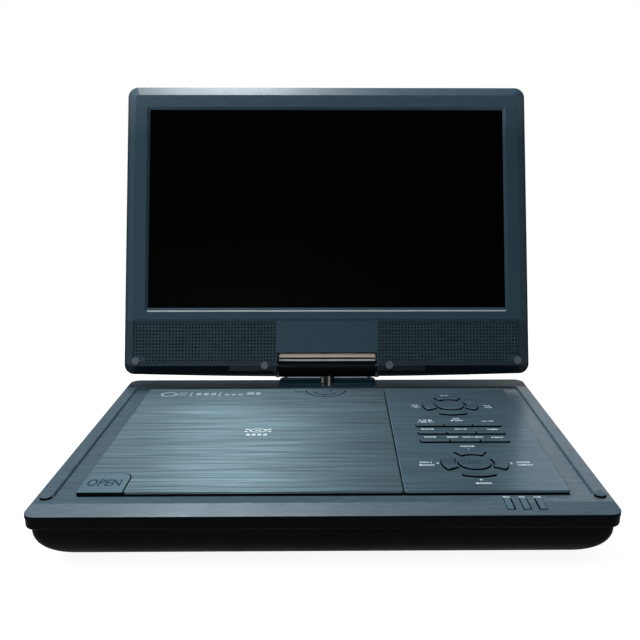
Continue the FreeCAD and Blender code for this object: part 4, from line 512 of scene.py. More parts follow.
def metal_finish(name, base, roughness=0.32, stretch=(0.05, 1.0, 1.0), contrast=0.3, metal=1.0):
    """Plated or turned metal, its grain along the piece."""
    material, tree, shader = start_finish(name)
    grain = stretched_noise(tree, METAL_GRAIN, 2.0, 0.6, stretch)
    tone = mix_colours(remap(grain, (0.36, 0.64)), base, darker(base, 1.0 - contrast))
    dress(shader, colour=tone, metal=metal,
          roughness=vary(grain, roughness - 0.04, roughness + 0.06))
    raise_bumps(shader, grain, 0.01 * MM, 0.4, rounded_normal(tree, FINE_ROUNDING))
    return material


def glass_finish(name, base):
    """Dark display face with hardly any shine."""
    material, tree, shader = start_finish(name)
    smear = stretched_noise(tree, SMEARS, 3.0, 0.6)
    tone = mix_colours(vary(smear, 0.0, 0.4), base, darker(base, 0.6))
    dress(shader, colour=tone, roughness=vary(smear, 0.28, 0.36), specular=0.01)
    return material


def board_finish(name, base):
    """Green circuit board with faint tracks."""
    material, tree, shader = start_finish(name)
    tracks = add_node(tree, "TexBrick", Scale=TRACKS, Vector=object_place(tree))
    tone = mix_colours(remap(tracks.outputs["Fac"], (0, 1), 0.0, 0.5), base, darker(base, 2.2))
    dress(shader, colour=tone, roughness=0.35)
    return material


def mark_finish(name, base, specular=0.2):
    """Thin printed ink."""
    material, tree, shader = start_finish(name)
    ink = stretched_noise(tree, INK_GRAIN, 2.0, 0.6)
    tone = mix_colours(vary(ink, 0.0, 0.3), base, darker(base, 0.8))
    dress(shader, colour=tone, roughness=0.6, specular=specular)
    return material


def finish_nodes(material, *names):
    """Gives a CAD node its finish through its material slots."""
    for name in names:
        mesh = NODES[name].data
        mesh.materials.clear()
        mesh.materials.append(material)


# Shared mesh work

def screen_place():
    """From the upright screen about its hinge axis to its place in the frame."""
    pivot = Vector(JOINTS["screen_tilt"]["pos_m"])
    return Matrix.Translation(pivot) @ Matrix.Rotation(-sizes().screen_lean, 4, "X")


def put_in_scene(name, data):
    made = bpy.data.objects.new(name, data)
    bpy.context.scene.collection.objects.link(made)
    return made


def mesh_object(name, mesh, material):
    """Turns a bmesh into an object of the scene."""
    data = bpy.data.meshes.new(name)
    mesh.to_mesh(data)
    mesh.free()
    data.materials.append(material)
    return put_in_scene(name, data)


def finish_piece(name, mesh, material, body, place):
    """Turns a bmesh into a named piece that rides on a body, with its place in its mesh."""
    bmesh.ops.transform(mesh, matrix=place, verts=mesh.verts)
    piece = mesh_object(name, mesh, material)
    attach(piece, body)


def fit(mesh, verts, scale, place):
    """Scales points about the origin and then moves them to their place."""
    bmesh.ops.scale(mesh, verts=verts, vec=scale)
    bmesh.ops.translate(mesh, verts=verts, vec=place)


def add_block(mesh, *limits):
    """A box between its limits in metres: two across, two along and two upwards."""
    made = bmesh.ops.create_cube(mesh, size=1)["verts"]
    fit(mesh, made, [high - low for low, high in limits], [(low + high) / 2 for low, high in limits])


def turn_mesh(mesh, angle, axis, centre=(0, 0, 0)):
    bmesh.ops.rotate(mesh, verts=mesh.verts, cent=centre, matrix=Matrix.Rotation(angle, 3, axis))


def round_edges(mesh, edges, radius, steps):
    bmesh.ops.bevel(mesh, geom=edges, offset=radius, affect="EDGES", segments=steps, profile=0.5, material=-1)


# Operators

class PLAYER_OT_screen_finish(bpy.types.Operator):
    """Finishes the screen's housing, display and inner parts"""

    bl_idname = "player.screen_finish"
    bl_label = "Finish the screen"

    def execute(self, context):
        tint = colours()
        finish_nodes(housing_finish("housing_paint", tint.housing), "front_bezel")
        finish_nodes(paint_finish("rear_paint", tint.rear, 0.34), "rear_cover")
        finish_nodes(glass_finish("display_face", tint.display), "lcd_panel")
        finish_nodes(rubber_finish("cap_rubber", shade(72, 80, 90)), "screw_caps")
        finish_nodes(metal_finish("arm_steel", shade(150, 150, 152)), "tilt_arms")
        finish_nodes(metal_finish("tray_steel", shade(120, 122, 124)), "panel_frame")
        finish_nodes(moulded_finish("speaker_black", shade(20, 20, 22), 0.6), "speakers")
        return {"FINISHED"}


# Painted reflection bands around the post, and how far the shading of the barrel's warm back half leans to
# the viewer
POST_REFLECTION_BANDS = 73.0
POST_REFLECTION_START = 1.4
TRIM_LEAN = -4.0


class PLAYER_OT_hinge_finish(bpy.types.Operator):
    """Finishes the swivel post and the hinge barrel"""

    bl_idname = "player.hinge_finish"
    bl_label = "Finish the hinge"

    def execute(self, context):
        black = moulded_finish("barrel_gloss", shade(5, 7, 10), 0.3, 1800, 0.002 * MM, 0.03)
        finish_nodes(black, "hinge_cover_front")
        # The warm back half of the barrel is pale as a painted reflection
        warm = metal_finish("barrel_warm_reflection", colours().warm, 0.35, contrast=0.2, metal=0.0)
        tree, shader = open_finish(warm)
        dress(shader, specular=0.1, normal=leaning_normal(tree, TRIM_LEAN))
        finish_nodes(warm, "hinge_cover_rear")
        # A pale post with painted reflection bands
        steel = metal_finish("post_steel", shade(205, 212, 202), 0.3, (1.0, 1.0, 0.03), metal=0.2)
        self.paint_post_reflections(*open_finish(steel))
        finish_nodes(steel, "swivel_shaft", "tilt_bracket", "swivel_bracket")
        return {"FINISHED"}

    def paint_post_reflections(self, tree, shader):
        """Upright dark and light bands around the post, a painted reflection."""
        bands = add_node(tree, "TexWave", bands_direction="X", Scale=POST_REFLECTION_BANDS,
                         Vector=object_place(tree))
        bands.inputs["Phase Offset"].default_value = POST_REFLECTION_START
        light = remap(bands.outputs["Fac"], (0.62, 1.0), 0.0, 0.8)
        darken_where(shader, light, shade(16, 20, 22))


class PLAYER_OT_screen_trim(bpy.types.Operator):
    """Adds the painted highlight line below the display and the lip behind the hinge barrel"""

    bl_idname = "player.screen_trim"
    bl_label = "Add the screen trim"

    def execute(self, context):
        s = sizes()
        # A painted highlight for the lit bevel below the display
        bright = metal_finish("display_highlight_paint", colours().trim, 0.4, metal=0.0)
        line_front = -s.face_front - 0.05 * MM
        line_deep = 0.35 * MM
        line = bmesh.new()
        add_block(line, (-s.trim_half, s.trim_half), (line_front, line_front + line_deep),
                  (s.trim_low, s.trim_low + s.trim_width))
        finish_piece("display_highlight_line", line, bright, "screen", screen_place())
        lip_thick = 1.0 * MM
        lip_end = s.notch_half + 1.8 * MM
        deep = (s.lip_deep, s.lip_deep + lip_thick)
        lip = bmesh.new()
        add_block(lip, (-s.notch_half, s.notch_half), deep, (s.lip_deep, s.notch_roof))
        for side in (-1, 1):
            ends = sorted((side * s.barrel_half, side * lip_end))
            add_block(lip, ends, deep, (-s.notch_roof, s.lip_deep))
        dull = bpy.data.materials["rear_paint"]
        finish_piece("notch_lip", lip, dull, "screen", screen_place())
        return {"FINISHED"}


class PLAYER_OT_hinge_trim(bpy.types.Operator):
    """Adds the seat around the post with a painted highlight along its back, and a painted highlight line and
    the seam along the barrel
    """

    bl_idname = "player.hinge_trim"
    bl_label = "Add the hinge trim"

    def execute(self, context):
        s = sizes()
        pivot = Vector(JOINTS["screen_swivel"]["pos_m"])
        place = Matrix.Translation((pivot.x, pivot.y, s.rim_top))
        high = s.seat_top - s.rim_top
        corner = 4 * MM
        rounding = high * 0.4
        seat = bmesh.new()
        add_block(seat, (-s.seat_half, s.seat_half), (s.seat_front, s.seat_back), (0, high))
        uprights = [edge for edge in seat.edges if abs(edge.verts[0].co.z - edge.verts[1].co.z) > high / 2]
        round_edges(seat, uprights, corner, 6)
        rims = [edge for edge in seat.edges if all(vert.co.z > high * 0.9 for vert in edge.verts)]
        round_edges(seat, rims, rounding, 3)
        # The seat is painted darker than the deck as shade under the screen
        dark = paint_finish("seat_shade_paint", colours().seat, 0.4, specular=0.0)
        finish_piece("swivel_seat", seat, dark, "base", place)
        # A pale strip along the seat's back edge is a painted highlight
        half = s.seat_half - corner - 1 * MM
        edge_back = s.seat_back - 0.9 * MM
        edge_width = 1.5 * MM
        edge_low = high - 0.2 * MM
        edge_top = high + 0.04 * MM
        edge = bmesh.new()
        add_block(edge, (-half, half), (edge_back - edge_width, edge_back), (edge_low, edge_top))
        pale = paint_finish("seat_highlight_paint", shade(150, 162, 168), 0.35)
        finish_piece("seat_highlight_strip", edge, pale, "base", place)

        # The bright line along the barrel is a painted highlight; the black strip above it is its seam
        bright = bpy.data.materials["display_highlight_paint"]
        black = mark_finish("seam_black", colours().edge, 0.0)
        for name, first, last, finish in (("barrel_highlight_line", s.line_first, s.line_last, bright),
                                          ("barrel_seam", s.line_last, s.seam_last, black)):
            finish_piece(name, barrel_strip(first, last), finish, "swivel", screen_place())
        return {"FINISHED"}


BARREL_STEPS = 180


def barrel_strip(first, last):
    """A strip along the barrel between two angles above the level line to the front, in degrees."""
    s = sizes()
    radius = s.barrel_radius + s.mark_height
    end_gap = 0.3 * MM
    length = 2 * (s.barrel_half - end_gap)
    strip = bmesh.new()
    bmesh.ops.create_cone(strip, segments=BARREL_STEPS, radius1=radius, radius2=radius, depth=length)
    turn_mesh(strip, math.pi / 2, "Y")
    off = []
    for face in strip.faces:
        spot = face.calc_center_median()
        angle = math.degrees(math.atan2(spot.z, -spot.y) + s.screen_lean)
        if not first < angle < last:
            off.append(face)
    bmesh.ops.delete(strip, geom=off, context="FACES")
    return strip


# How far the brushed face of each plate reaches down from its top; below it the walls are painted black as
# shade
PLATE_FACE = 1.1 * MM
BUTTON_FACE = 0.3 * MM
STOP_FACE = 0.12 * MM
KEY_FACE = 0.06 * MM


class PLAYER_OT_base_finish(bpy.types.Operator):
    """Finishes the cases, the lid and the panel"""

    bl_idname = "player.base_finish"
    bl_label = "Finish the base"

    def execute(self, context):
        tint = colours()
        s = sizes()
        finish_nodes(deck_finish("deck_paint", tint.deck), "upper_case")
        # Below each brushed face the walls of the lid, panel and button are painted black as shade
        top = s.plate_top - PLATE_FACE
        finish_nodes(brushed_finish("lid_brushed", tint.plate, tint.streak, top), "disc_lid")
        panel = brushed_finish("panel_brushed", tint.panel, darker(tint.streak, 0.6), top, 0.35)
        finish_nodes(panel, "control_panel")
        top = s.plate_top - BUTTON_FACE
        button = brushed_finish("button_brushed", tint.panel, darker(tint.streak, 0.7), top, 0.6)
        finish_nodes(button, "open_button")
        case = moulded_finish("case_black", tint.case, 0.5, 700, 0.01 * MM, 0.02)
        finish_nodes(case, "lower_case", "battery_door")
        finish_nodes(rubber_finish("foot_rubber", shade(24, 24, 26)), "rubber_feet")
        # The stops' walls below their tops are painted black as shade
        top = s.stop_top - STOP_FACE
        stop = brushed_finish("stop_rubber", darker(tint.deck, 0.9), tint.deck, top, 0.3, 0.6, 0.0)
        finish_nodes(stop, "bumpers")
        smoke = moulded_finish("lens_smoke", darker(tint.deck, 1.2), 0.5, 1200, 0.01 * MM, 0.03)
        finish_nodes(smoke, "indicator_lenses")
        finish_nodes(metal_finish("screw_steel", shade(70, 70, 72)), "case_screws")
        return {"FINISHED"}


class PLAYER_OT_key_finish(bpy.types.Operator):
    """Finishes the keys and the mat under them"""

    bl_idname = "player.key_finish"
    bl_label = "Finish the keys"

    def execute(self, context):
        tint = colours()
        # The keys' walls below their tops are painted black as shade
        top = sizes().key_top - KEY_FACE
        brushed = brushed_finish("key_brushed", tint.panel, darker(tint.streak, 0.6), top, 0.5)
        below = ("key_membrane", "key_board")
        finish_nodes(brushed, *[name for name in NODES if name.startswith("key_") and name not in below])
        finish_nodes(rubber_finish("mat_rubber", shade(40, 42, 44)), "key_membrane")
        return {"FINISHED"}


class PLAYER_OT_inside_finish(bpy.types.Operator):
    """Finishes the disc drive, boards, battery and sockets"""

    bl_idname = "player.inside_finish"
    bl_label = "Finish the inside"

    def execute(self, context):
        satin = moulded_finish("inner_black", shade(17, 17, 19), 0.45, 1100, 0.02 * MM)
        finish_nodes(satin, "disc_well", "socket_panel", "dc_jack", "signal_jacks", "power_switch",
                     "lid_latch", "turntable_hub")
        lens = moulded_finish("lens_body", shade(70, 74, 90), 0.2, 1500, 0.01 * MM, 0.6)
        finish_nodes(lens, "lens_holder")
        steel = metal_finish("drive_steel", shade(165, 166, 168))
        finish_nodes(steel, "drive_chassis", "guide_rails", "lead_screw", "spindle_motor", "sled_motor",
                     "usb_port")
        cast = metal_finish("sled_cast", shade(140, 141, 145), 0.45, (1.0, 1.0, 1.0))
        finish_nodes(cast, "pickup_sled")
        finish_nodes(board_finish("board_green", shade(28, 78, 50)), "main_board", "key_board")
        finish_nodes(moulded_finish("battery_film", shade(30, 31, 34), 0.35, 400), "battery_pack")
        return {"FINISHED"}


class PLAYER_OT_sound_dots(bpy.types.Operator):
    """Adds the fields of sound dots below the display"""

    bl_idname = "player.sound_dots"
    bl_label = "Add the sound dots"

    def execute(self, context):
        # The sound dots take the chin colour, the housing paint in painted shade
        paint = dotted_finish("dotted_paint", colours().chin)
        for side, name in ((-1, "sound_dots_left"), (1, "sound_dots_right")):
            finish_piece(name, dotted_plate(side), paint, "screen", screen_place())
        return {"FINISHED"}


# A dimple's cut corners and taper, in shares of its width, and the flat corner for a screw cap
DIMPLE_CORNER = 0.27
DIMPLE_TAPER = 0.12
CAP_WIDTH = 6.5 * MM
CAP_HEIGHT = 5.0 * MM


def dotted_finish(name, base):
    """Dull paint of the sound dots, painted darker down in the dimples as shade."""
    material = paint_finish(name, base, 0.45, specular=0.03, rounded=False)
    tree, shader = open_finish(material)
    outward = screen_place().to_3x3() @ Vector((0, -1, 0))
    face = outward.dot(screen_place() @ Vector((0, -sizes().face_front, 0)))
    height = add_node(tree, "VectorMath", operation="DOT_PRODUCT")
    feed(height.inputs[0], object_place(tree))
    feed(height.inputs[1], outward)
    # Painted shade down in the dimples
    dimple = (face - 0.25 * MM, face - 0.02 * MM)
    flat = remap(height.outputs["Value"], dimple)
    darken_where(shader, flat, darker(base, 0.12))
    return material


def count_dots(centre, low, high):
    """How many dots fit between two limits around one at the centre, and the middle of their row."""
    pitch = sizes().dot_pitch
    first = -math.floor((centre - low) / pitch - 0.5)
    last = math.floor((high - centre) / pitch - 0.5)
    return last - first + 1, centre + (first + last) / 2 * pitch


def dotted_plate(side):
    """A thin plate with a grid of dimples, open in front of the speaker."""
    s = sizes()
    pitch = s.dot_pitch
    columns, middle_x = count_dots(s.speaker_x, s.field_inner, s.field_outer)
    rows, middle_z = count_dots(s.speaker_z, s.field_low, s.field_high)
    mesh = bmesh.new()
    bmesh.ops.create_grid(mesh, x_segments=columns, y_segments=rows, size=0.5)
    turn_mesh(mesh, math.pi / 2, "X")
    fit(mesh, mesh.verts, (columns * pitch, 1, rows * pitch), (middle_x, -s.face_front, middle_z))
    cells = [face for face in mesh.faces
             if face.calc_center_median().x <= s.field_outer - CAP_WIDTH
             or face.calc_center_median().z >= s.field_low + CAP_HEIGHT]
    wall = (pitch - s.dot_width) / 2
    bmesh.ops.inset_individual(mesh, faces=cells, thickness=wall, use_even_offset=True)
    corners = [vert for face in cells for vert in face.verts]
    bmesh.ops.bevel(mesh, geom=corners, offset=s.dot_width * DIMPLE_CORNER, affect="VERTICES", segments=1,
                    profile=0.5, material=-1)
    cells = [face for face in mesh.faces
             if len(face.verts) == 8 and face.calc_area() < s.dot_width * s.dot_width]
    bmesh.ops.inset_individual(mesh, faces=cells, thickness=s.dot_width * DIMPLE_TAPER, depth=-s.dot_depth)
    centre = Vector((s.speaker_x, 0, s.speaker_z))
    reach = s.speaker_reach + 0.1 * MM
    open_cells = [face for face in cells if (face.calc_center_median() - centre).xz.length < reach]
    bmesh.ops.delete(mesh, geom=open_cells, context="FACES")
    if side < 0:
        bmesh.ops.scale(mesh, verts=mesh.verts, vec=(-1, 1, 1))
        bmesh.ops.reverse_faces(mesh, faces=mesh.faces)
    return mesh


# Printed marks, and marks of painted shade for engravings, window frames and stop gaps, drawn in millimetres
# about the middle of the base

def add_bar(mesh, x, y, width, height):
    made = bmesh.ops.create_grid(mesh, x_segments=1, y_segments=1, size=0.5)
    fit(mesh, made["verts"], (width, height, 1), (x, y, 0))


def add_bars(mesh, bars):
    for bar in bars:
        add_bar(mesh, *bar)


def add_frame(mesh, x, y, width, height, line):
    """Four bars around an open middle."""
    for side in (-1, 1):
        add_bar(mesh, x, y + side * (height - line) / 2, width, line)
        add_bar(mesh, x + side * (width - line) / 2, y, line, height)


ARC_STEPS = 72


def add_polygon(mesh, x, y, radius, corners, turn):
    place = Matrix.Translation((x, y, 0)) @ Matrix.Rotation(turn, 4, "Z")
    made = bmesh.ops.create_circle(mesh, cap_ends=True, radius=radius, segments=corners, matrix=place)
    return made["verts"]


def add_arc(mesh, x, y, radius, width, first=0.0, last=360.0, squash=1.0):
    """A flat ring, or the part of it between two angles in degrees."""
    verts = add_polygon(mesh, 0, 0, radius + width / 2, ARC_STEPS, 0)
    disc = verts[0].link_faces[0]
    ring = bmesh.ops.inset_region(
        mesh, faces=[disc], thickness=width, use_boundary=True, use_even_offset=True)["faces"]
    bmesh.ops.delete(mesh, geom=[disc], context="FACES_ONLY")
    out = []
    for face in ring:
        spot = face.calc_center_median()
        angle = math.degrees(math.atan2(spot.y, spot.x)) % 360
        if (angle - first) % 360 > last - first:
            out.append(face)
    kept = list({vert for face in ring if face not in out for vert in face.verts})
    bmesh.ops.delete(mesh, geom=out, context="FACES")
    fit(mesh, kept, (1, squash, 1), (x, y, 0))


# What a printed symbol is made of and its room on the line, in symbol sizes
TURNS = {"right": 0.0, "up": 90.0, "left": 180.0, "down": 270.0}
BARS = {
    "bar": ((0, 0.27, 0.85),),
    "thin": ((0, 0.21, 0.85),),
    "lines": ((-0.34, 0.9, 0.17), (0, 0.9, 0.17), (0.34, 0.9, 0.17)),
    "stop": ((0, 0.75, 0.75),),
    "plus": ((0, 0.8, 0.2), (0, 0.2, 0.8)),
    "minus": ((0, 0.8, 0.2),),
}
ROOM = {"bar": 0.45, "thin": 0.35, "lines": 1.0, "stop": 0.9, "ring": 1.05, "plus": 0.95, "minus": 0.9,
        "gap": 0.3}
TRIANGLE_ROOM = 0.8


def add_symbol(mesh, kind, x, y, size):
    """One symbol of a printed sign, centred on its place."""
    if kind in TURNS:
        # A triangle's first corner points along y before it is turned
        add_polygon(mesh, x, y, size * 0.5, 3, math.radians(TURNS[kind] - 90))
    elif kind == "ring":
        add_arc(mesh, x, y, size * 0.4, size * 0.2)
    for up, width, height in BARS.get(kind, ()):
        add_bar(mesh, x, y + up * size, width * size, height * size)


def add_signs(mesh, signs, size):
    """Rows of symbols, each row centred on its place."""
    for x, y, words in signs:
        kinds = words.split()
        widths = [ROOM.get(kind, TRIANGLE_ROOM) * size for kind in kinds]
        left = x - sum(widths) / 2
        for kind, width in zip(kinds, widths):
            add_symbol(mesh, kind, left + width / 2, y, size)
            left += width


# Signs on the key panel: place from the middle of the base in millimetres, then the symbols
PANEL_SIGNS = (
    (71.1, 55.9, "lines gap up bar"),
    (51.5, 38.6, "bar left left"),
    (51.9, 35.6, "minus ring minus"),
    (93.2, 37.4, "right right bar"),
    (93.6, 34.5, "plus ring thin"),
    (54.8, 13.9, "lines gap ring gap stop bar"),
    (55.0, 11.3, "minus stop stop gap lines minus"),
    (72.1, 16.2, "bar ring bar"),
    (72.1, 13.4, "stop gap lines ring bar"),
    (88.9, 12.3, "plus bar minus ring bar"),
    (54.5, 0.6, "stop bar lines bar stop"),
    (72.3, 0.4, "ring bar plus lines"),
    (89.3, -0.1, "lines bar stop bar bar"),
    (54.5, -10.7, "bar lines ring stop"),
    (66.3, -10.9, "stop stop bar lines"),
    (76.9, -11.0, "ring lines bar plus stop bar ring"),
    (89.5, -11.5, "lines stop bar ring"),
    (72.0, -23.4, "lines bar ring bar stop"),
    (71.9, -27.1, "up"),
    (48.5, -43.2, "ring bar lines gap bar"),
    (48.7, -46.3, "stop lines bar ring bar"),
    (54.2, -44.2, "left"),
    (89.6, -44.4, "right"),
    (95.6, -43.4, "bar lines ring stop"),
    (95.8, -46.6, "ring stop bar lines bar"),
    (71.8, -63.0, "down"),
    (72.3, -66.6, "stop lines bar ring bar"),
)
WINDOW_SIGNS = (
    (80.3, -77.2, "stop bar lines"),
    (87.1, -77.3, "bar ring bar"),
    (93.8, -77.4, "lines bar stop"),
)


# Bars of the marks on the lid: place across and back, width and height, in millimetres
LID_ROW_BARS = (
    (-88.0, 62.0, 5.0, 1.1), (-88.6, 58.2, 6.0, 1.1), (-82.6, 59.6, 0.9, 8.0),
    (-78.0, 60.0, 3.0, 4.6), (-73.5, 60.0, 3.0, 4.6), (-69.0, 60.0, 3.0, 4.6), (-65.2, 59.6, 0.9, 8.0),
    (-60.6, 58.8, 2.6, 2.6), (-56.6, 58.8, 2.6, 2.6), (-52.6, 58.8, 2.6, 2.6),
    (-46.6, 60.8, 4.4, 4.4), (-42.0, 60.8, 2.8, 4.4),
)
LID_CENTRE_BARS = (
    (-42.0, 0.8, 2.2, 1.3), (-42.6, -2.0, 1.8, 1.3), (-30.4, 0.8, 2.4, 1.3), (-30.0, -2.0, 1.8, 1.3),
    (-41.0, -6.6, 2.0, 2.6), (-38.0, -6.6, 2.0, 2.6), (-35.0, -6.6, 2.0, 2.6), (-32.0, -6.6, 2.0, 2.6),
)
SWIVEL_BARS = ((-17.2, 63.8, 5.6, 1.4), (2.2, 65.5, 1.6, 1.8), (-1.4, 57.2, 1.6, 1.6))
# Painted shade: the black frame around each window as width, height and line, then the crescent at each stop
# as radius and width
WINDOW_SHADE_FRAME = (3.7, 10.2, 0.6)
STOP_SHADE_GAP = (2.65, 0.6)
LETTER_WEIGHT = 0.02


def place_marks(name, mesh, material, body, height):
    """Lays marks that were drawn in millimetres on a level surface, facing upwards."""
    s = sizes()
    bmesh.ops.scale(mesh, verts=mesh.verts, vec=(MM, MM, MM))
    for face in mesh.faces:
        if face.normal.z < 0:
            face.normal_flip()
    place = Matrix.Translation((0, s.base_shift, height + s.mark_height))
    finish_piece(name, mesh, material, body, place)


def add_word(mesh, word, x, y, width, height):
    """A plain word as flat faces, fitted to a width and a height."""
    curve = bpy.data.curves.new(word, "FONT")
    curve.body = word
    curve.offset = LETTER_WEIGHT
    text = bpy.data.objects.new(word, curve)
    flat = bpy.data.meshes.new_from_object(text)
    mesh.from_mesh(flat)
    low = Vector([min(vert.co[i] for vert in mesh.verts) for i in range(3)])
    high = Vector([max(vert.co[i] for vert in mesh.verts) for i in range(3)])
    span = high - low
    bmesh.ops.translate(mesh, verts=mesh.verts, vec=-(low + high) / 2)
    fit(mesh, mesh.verts, (width / span.x, height / span.y, 1), (x, y, 0))
    bpy.data.objects.remove(text)
    bpy.data.curves.remove(curve)
    bpy.data.meshes.remove(flat)


class PLAYER_OT_printed_marks(bpy.types.Operator):
    """Adds the printed symbols around the keys, windows and on the lid, and black painted shade around the
    windows and in front of the rubber stops
    """

    bl_idname = "player.printed_marks"
    bl_label = "Add the printed marks"

    def execute(self, context):
        s = sizes()
        ink = mark_finish("white_ink", colours().mark)
        pale = mark_finish("pale_ink", colours().pale_mark)
        black = mark_finish("painted_shade_black", colours().edge, 0.0)
        size = s.symbol / MM
        panel = bmesh.new()
        add_signs(panel, PANEL_SIGNS, size)
        place_marks("panel_marks", panel, ink, "base", s.plate_top)
        windows = bmesh.new()
        add_signs(windows, WINDOW_SIGNS, size * 0.75)
        place_marks("window_marks", windows, ink, "base", s.rim_top)
        # Black frames painted as the shaded gap around each window
        shade_frames = bmesh.new()
        for x, y, _ in WINDOW_SIGNS:
            add_frame(shade_frames, x, y - s.window_back / MM, *WINDOW_SHADE_FRAME)
        fall = math.atan((s.rim_top - s.slope_low) / (s.base_shift - s.base_half_y - s.slope_back))
        turn_mesh(shade_frames, -fall, "X", (0, (s.slope_back - s.base_shift) / MM, 0))
        place_marks("window_shade_frames", shade_frames, black, "base", s.rim_top)
        # Black crescents painted as the shadow in front of each rubber stop
        shade_gaps = bmesh.new()
        for side in (-1, 1):
            add_arc(shade_gaps, side * s.stop_x / MM, s.stop_y / MM, *STOP_SHADE_GAP, 180, 360)
        place_marks("stop_shade_gaps", shade_gaps, black, "base", s.rim_top)
        row = bmesh.new()
        add_arc(row, -96.0, 59.6, 4.4, 1.3, squash=0.8)
        add_bars(row, LID_ROW_BARS)
        place_marks("lid_row_marks", row, pale, "lid", s.plate_top)
        centre = bmesh.new()
        add_arc(centre, -36.2, -0.6, 4.2, 1.2, squash=0.55)
        add_arc(centre, -36.2, -0.6, 1.3, 0.9, squash=0.6)
        add_bars(centre, LID_CENTRE_BARS)
        place_marks("lid_centre_mark", centre, ink, "lid", s.plate_top)
        return {"FINISHED"}


class PLAYER_OT_engraved_marks(bpy.types.Operator):
    """Adds the words and the swivel sign, dark as painted shade of grooves"""

    bl_idname = "player.engraved_marks"
    bl_label = "Add the engraved marks"

    def execute(self, context):
        s = sizes()
        # Painted shade standing in for the grooves
        groove_shade = mark_finish("groove_shade_paint", colours().engraved, 0.0)
        word = bmesh.new()
        add_word(word, "OPEN", -99.8, -64.5, 15.4, 7.0)
        place_marks("open_word", word, groove_shade, "open_button", s.plate_top)
        word = bmesh.new()
        add_word(word, "OK", 71.9, -44.6, 6.4, 4.6)
        place_marks("ok_word", word, groove_shade, "key_lower_middle", s.key_top)
        swivel = bmesh.new()
        add_arc(swivel, -0.9, 66.4, 12.0, 1.3, 182, 358)
        add_arc(swivel, -0.9, 65.6, 7.2, 1.2, 190, 330)
        add_bars(swivel, SWIVEL_BARS)
        place_marks("swivel_sign", swivel, groove_shade, "lid", s.plate_top)
        return {"FINISHED"}


class PLAYER_OT_studio(bpy.types.Operator):
    """Sets up the camera, the pale floor, the sky and the lamps"""

    bl_idname = "player.studio"
    bl_label = "Set up the studio"

    def execute(self, context):
        make_camera()
        make_floor()
        make_sky()
        make_lamps()
        context.scene.view_settings.view_transform = "Standard"
        return {"FINISHED"}


SENSOR_WIDTH = 36


def make_camera():
    s = studio()
    data = bpy.data.cameras.new("camera")
    data.lens = s.lens
    data.sensor_width = SENSOR_WIDTH
    data.shift_x = s.shift_x
    camera = put_in_scene("camera", data)
    turn = (Matrix.Rotation(-s.yaw, 4, "Z") @ Matrix.Rotation(math.pi / 2 - s.pitch, 4, "X")
            @ Matrix.Rotation(s.roll, 4, "Z"))
    camera.matrix_world = Matrix.Translation((s.camera_x, s.camera_y, s.camera_z)) @ turn
    bpy.context.scene.camera = camera


def seen_by(tree, *kinds):
    """One where any of the given kinds of ray looks."""
    rays = add_node(tree, "LightPath")
    seen = rays.outputs[kinds[0]]
    for kind in kinds[1:]:
        seen = work_out("MAXIMUM", seen, rays.outputs[kind])
    return seen


# The floor turns from grey with a glow to plain white between two distances from the middle
FLOOR_SIZE = 8.0
FLOOR_GREY = (0.32, 0.32, 0.32)
FLOOR_GLOW = 0.88
FLOOR_FADE = (0.25, 0.6)


def make_floor():
    """A pale floor that keeps the shadow near the object and is plain white further out."""
    material, tree, _ = start_finish("floor_white")
    tree.nodes.clear()
    seen = seen_by(tree, "Is Camera Ray", "Is Glossy Ray", "Is Transmission Ray")
    matte = add_node(tree, "BsdfDiffuse", Color=FLOOR_GREY)
    glow = add_node(tree, "Emission", Strength=work_out("MULTIPLY", seen, FLOOR_GLOW))
    both = add_node(tree, "AddShader")
    feed(both.inputs[0], matte.outputs[0])
    feed(both.inputs[1], glow.outputs[0])
    plain = add_node(tree, "Emission", Strength=seen)
    distance = add_node(tree, "VectorMath", operation="LENGTH")
    feed(distance.inputs[0], object_place(tree))
    far = remap(distance.outputs["Value"], FLOOR_FADE)
    choice = add_node(tree, "MixShader", Fac=far)
    feed(choice.inputs[1], both.outputs[0])
    feed(choice.inputs[2], plain.outputs[0])
    add_node(tree, "OutputMaterial", Surface=choice.outputs[0])
    mesh = bmesh.new()
    bmesh.ops.create_grid(mesh, x_segments=1, y_segments=1, size=FLOOR_SIZE)
    floor = mesh_object("floor", mesh, material)


# Upward share of the direction in which the white turns into the ceiling
CEILING_RISE = (0.12, 0.55)


def make_sky():
    """White behind the object and in its reflections, under a darker ceiling."""
    world = bpy.data.worlds.new("sky")
    world.use_nodes = True
    bpy.context.scene.world = world
    tree = world.node_tree
    back = tree.nodes["Background"]
    back.inputs["Color"].default_value = (1, 1, 1, 1)
    direction = add_node(tree, "TexCoord").outputs["Generated"]
    upward = add_node(tree, "SeparateXYZ", Vector=direction).outputs["Z"]
    ceiling = remap(upward, CEILING_RISE, 1.0, studio().ceiling)
    shiny = choose(seen_by(tree, "Is Glossy Ray"), studio().sky, ceiling)
    straight = seen_by(tree, "Is Camera Ray", "Is Transmission Ray")
    feed(back.inputs["Strength"], choose(straight, shiny, 1.0))


def area_lamp(name, place, target, width, depth, watts):
    data = bpy.data.lights.new(name, "AREA")
    data.shape = "RECTANGLE"
    data.size = width
    data.size_y = depth
    data.energy = watts
    lamp = put_in_scene(name, data)
    aim = (Vector(target) - Vector(place)).to_track_quat("-Z", "Y")
    lamp.matrix_world = Matrix.Translation(place) @ aim.to_matrix().to_4x4()


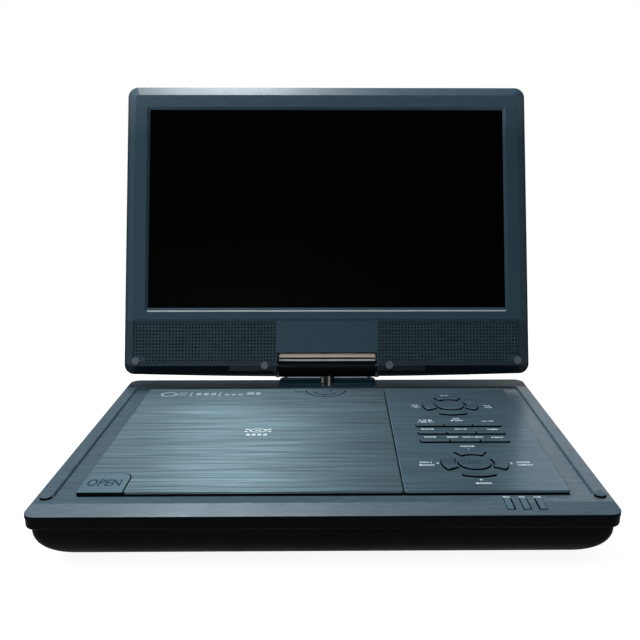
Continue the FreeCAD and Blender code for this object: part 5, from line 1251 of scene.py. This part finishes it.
def make_lamps():
    """Each lamp's place and target, then its width and depth, all in metres."""
    s = studio()
    area_lamp("key_lamp", (-0.45, -0.1, 0.52), (0.0, 0.0, 0.04), 0.35, 0.35, s.key_light)
    area_lamp("window_lamp", (-0.19, 0.39, 1.07), (-0.06, 0.0, 0.05), 0.16, 0.34, s.window_light)
    area_lamp("side_lamp", (0.42, 0.85, 0.44), (0.09, -0.06, 0.03), 0.25, 0.25, s.side_light)
    area_lamp("fill_lamp", (-0.14, -0.78, 0.22), (0.0, 0.06, 0.06), 0.3, 0.2, s.fill_light)


STEPS = (
    PLAYER_OT_screen_finish,
    PLAYER_OT_hinge_finish,
    PLAYER_OT_screen_trim,
    PLAYER_OT_hinge_trim,
    PLAYER_OT_base_finish,
    PLAYER_OT_key_finish,
    PLAYER_OT_inside_finish,
    PLAYER_OT_sound_dots,
    PLAYER_OT_printed_marks,
    PLAYER_OT_engraved_marks,
    PLAYER_OT_studio,
)


class PLAYER_PT_panel(bpy.types.Panel):
    """Lists the steps that dress the player"""

    bl_idname = "PLAYER_PT_panel"
    bl_label = "Disc Player"
    bl_space_type = "VIEW_3D"
    bl_region_type = "UI"
    bl_category = "Disc Player"

    def draw(self, context):
        for step in STEPS:
            self.layout.operator(step.bl_idname)
        for group in (colours(), sizes(), studio()):
            box = self.layout.box()
            for name in group.__annotations__:
                box.prop(group, name, text=name.replace("_", " ").capitalize())


GROUPS = (PlayerColours, PlayerSizes, StudioSettings)


def register():
    for item in GROUPS + STEPS + (PLAYER_PT_panel,):
        bpy.utils.register_class(item)
    bpy.types.Scene.player_colours = PointerProperty(type=PlayerColours)
    bpy.types.Scene.player_sizes = PointerProperty(type=PlayerSizes)
    bpy.types.Scene.player_studio = PointerProperty(type=StudioSettings)


def unregister():
    del bpy.types.Scene.player_colours
    del bpy.types.Scene.player_sizes
    del bpy.types.Scene.player_studio
    for item in reversed(GROUPS + STEPS + (PLAYER_PT_panel,)):
        bpy.utils.unregister_class(item)


def main():
    register()
    for step in STEPS:
        group, _, name = step.bl_idname.partition(".")
        getattr(getattr(bpy.ops, group), name)()


if __name__ == "__main__":
    main()
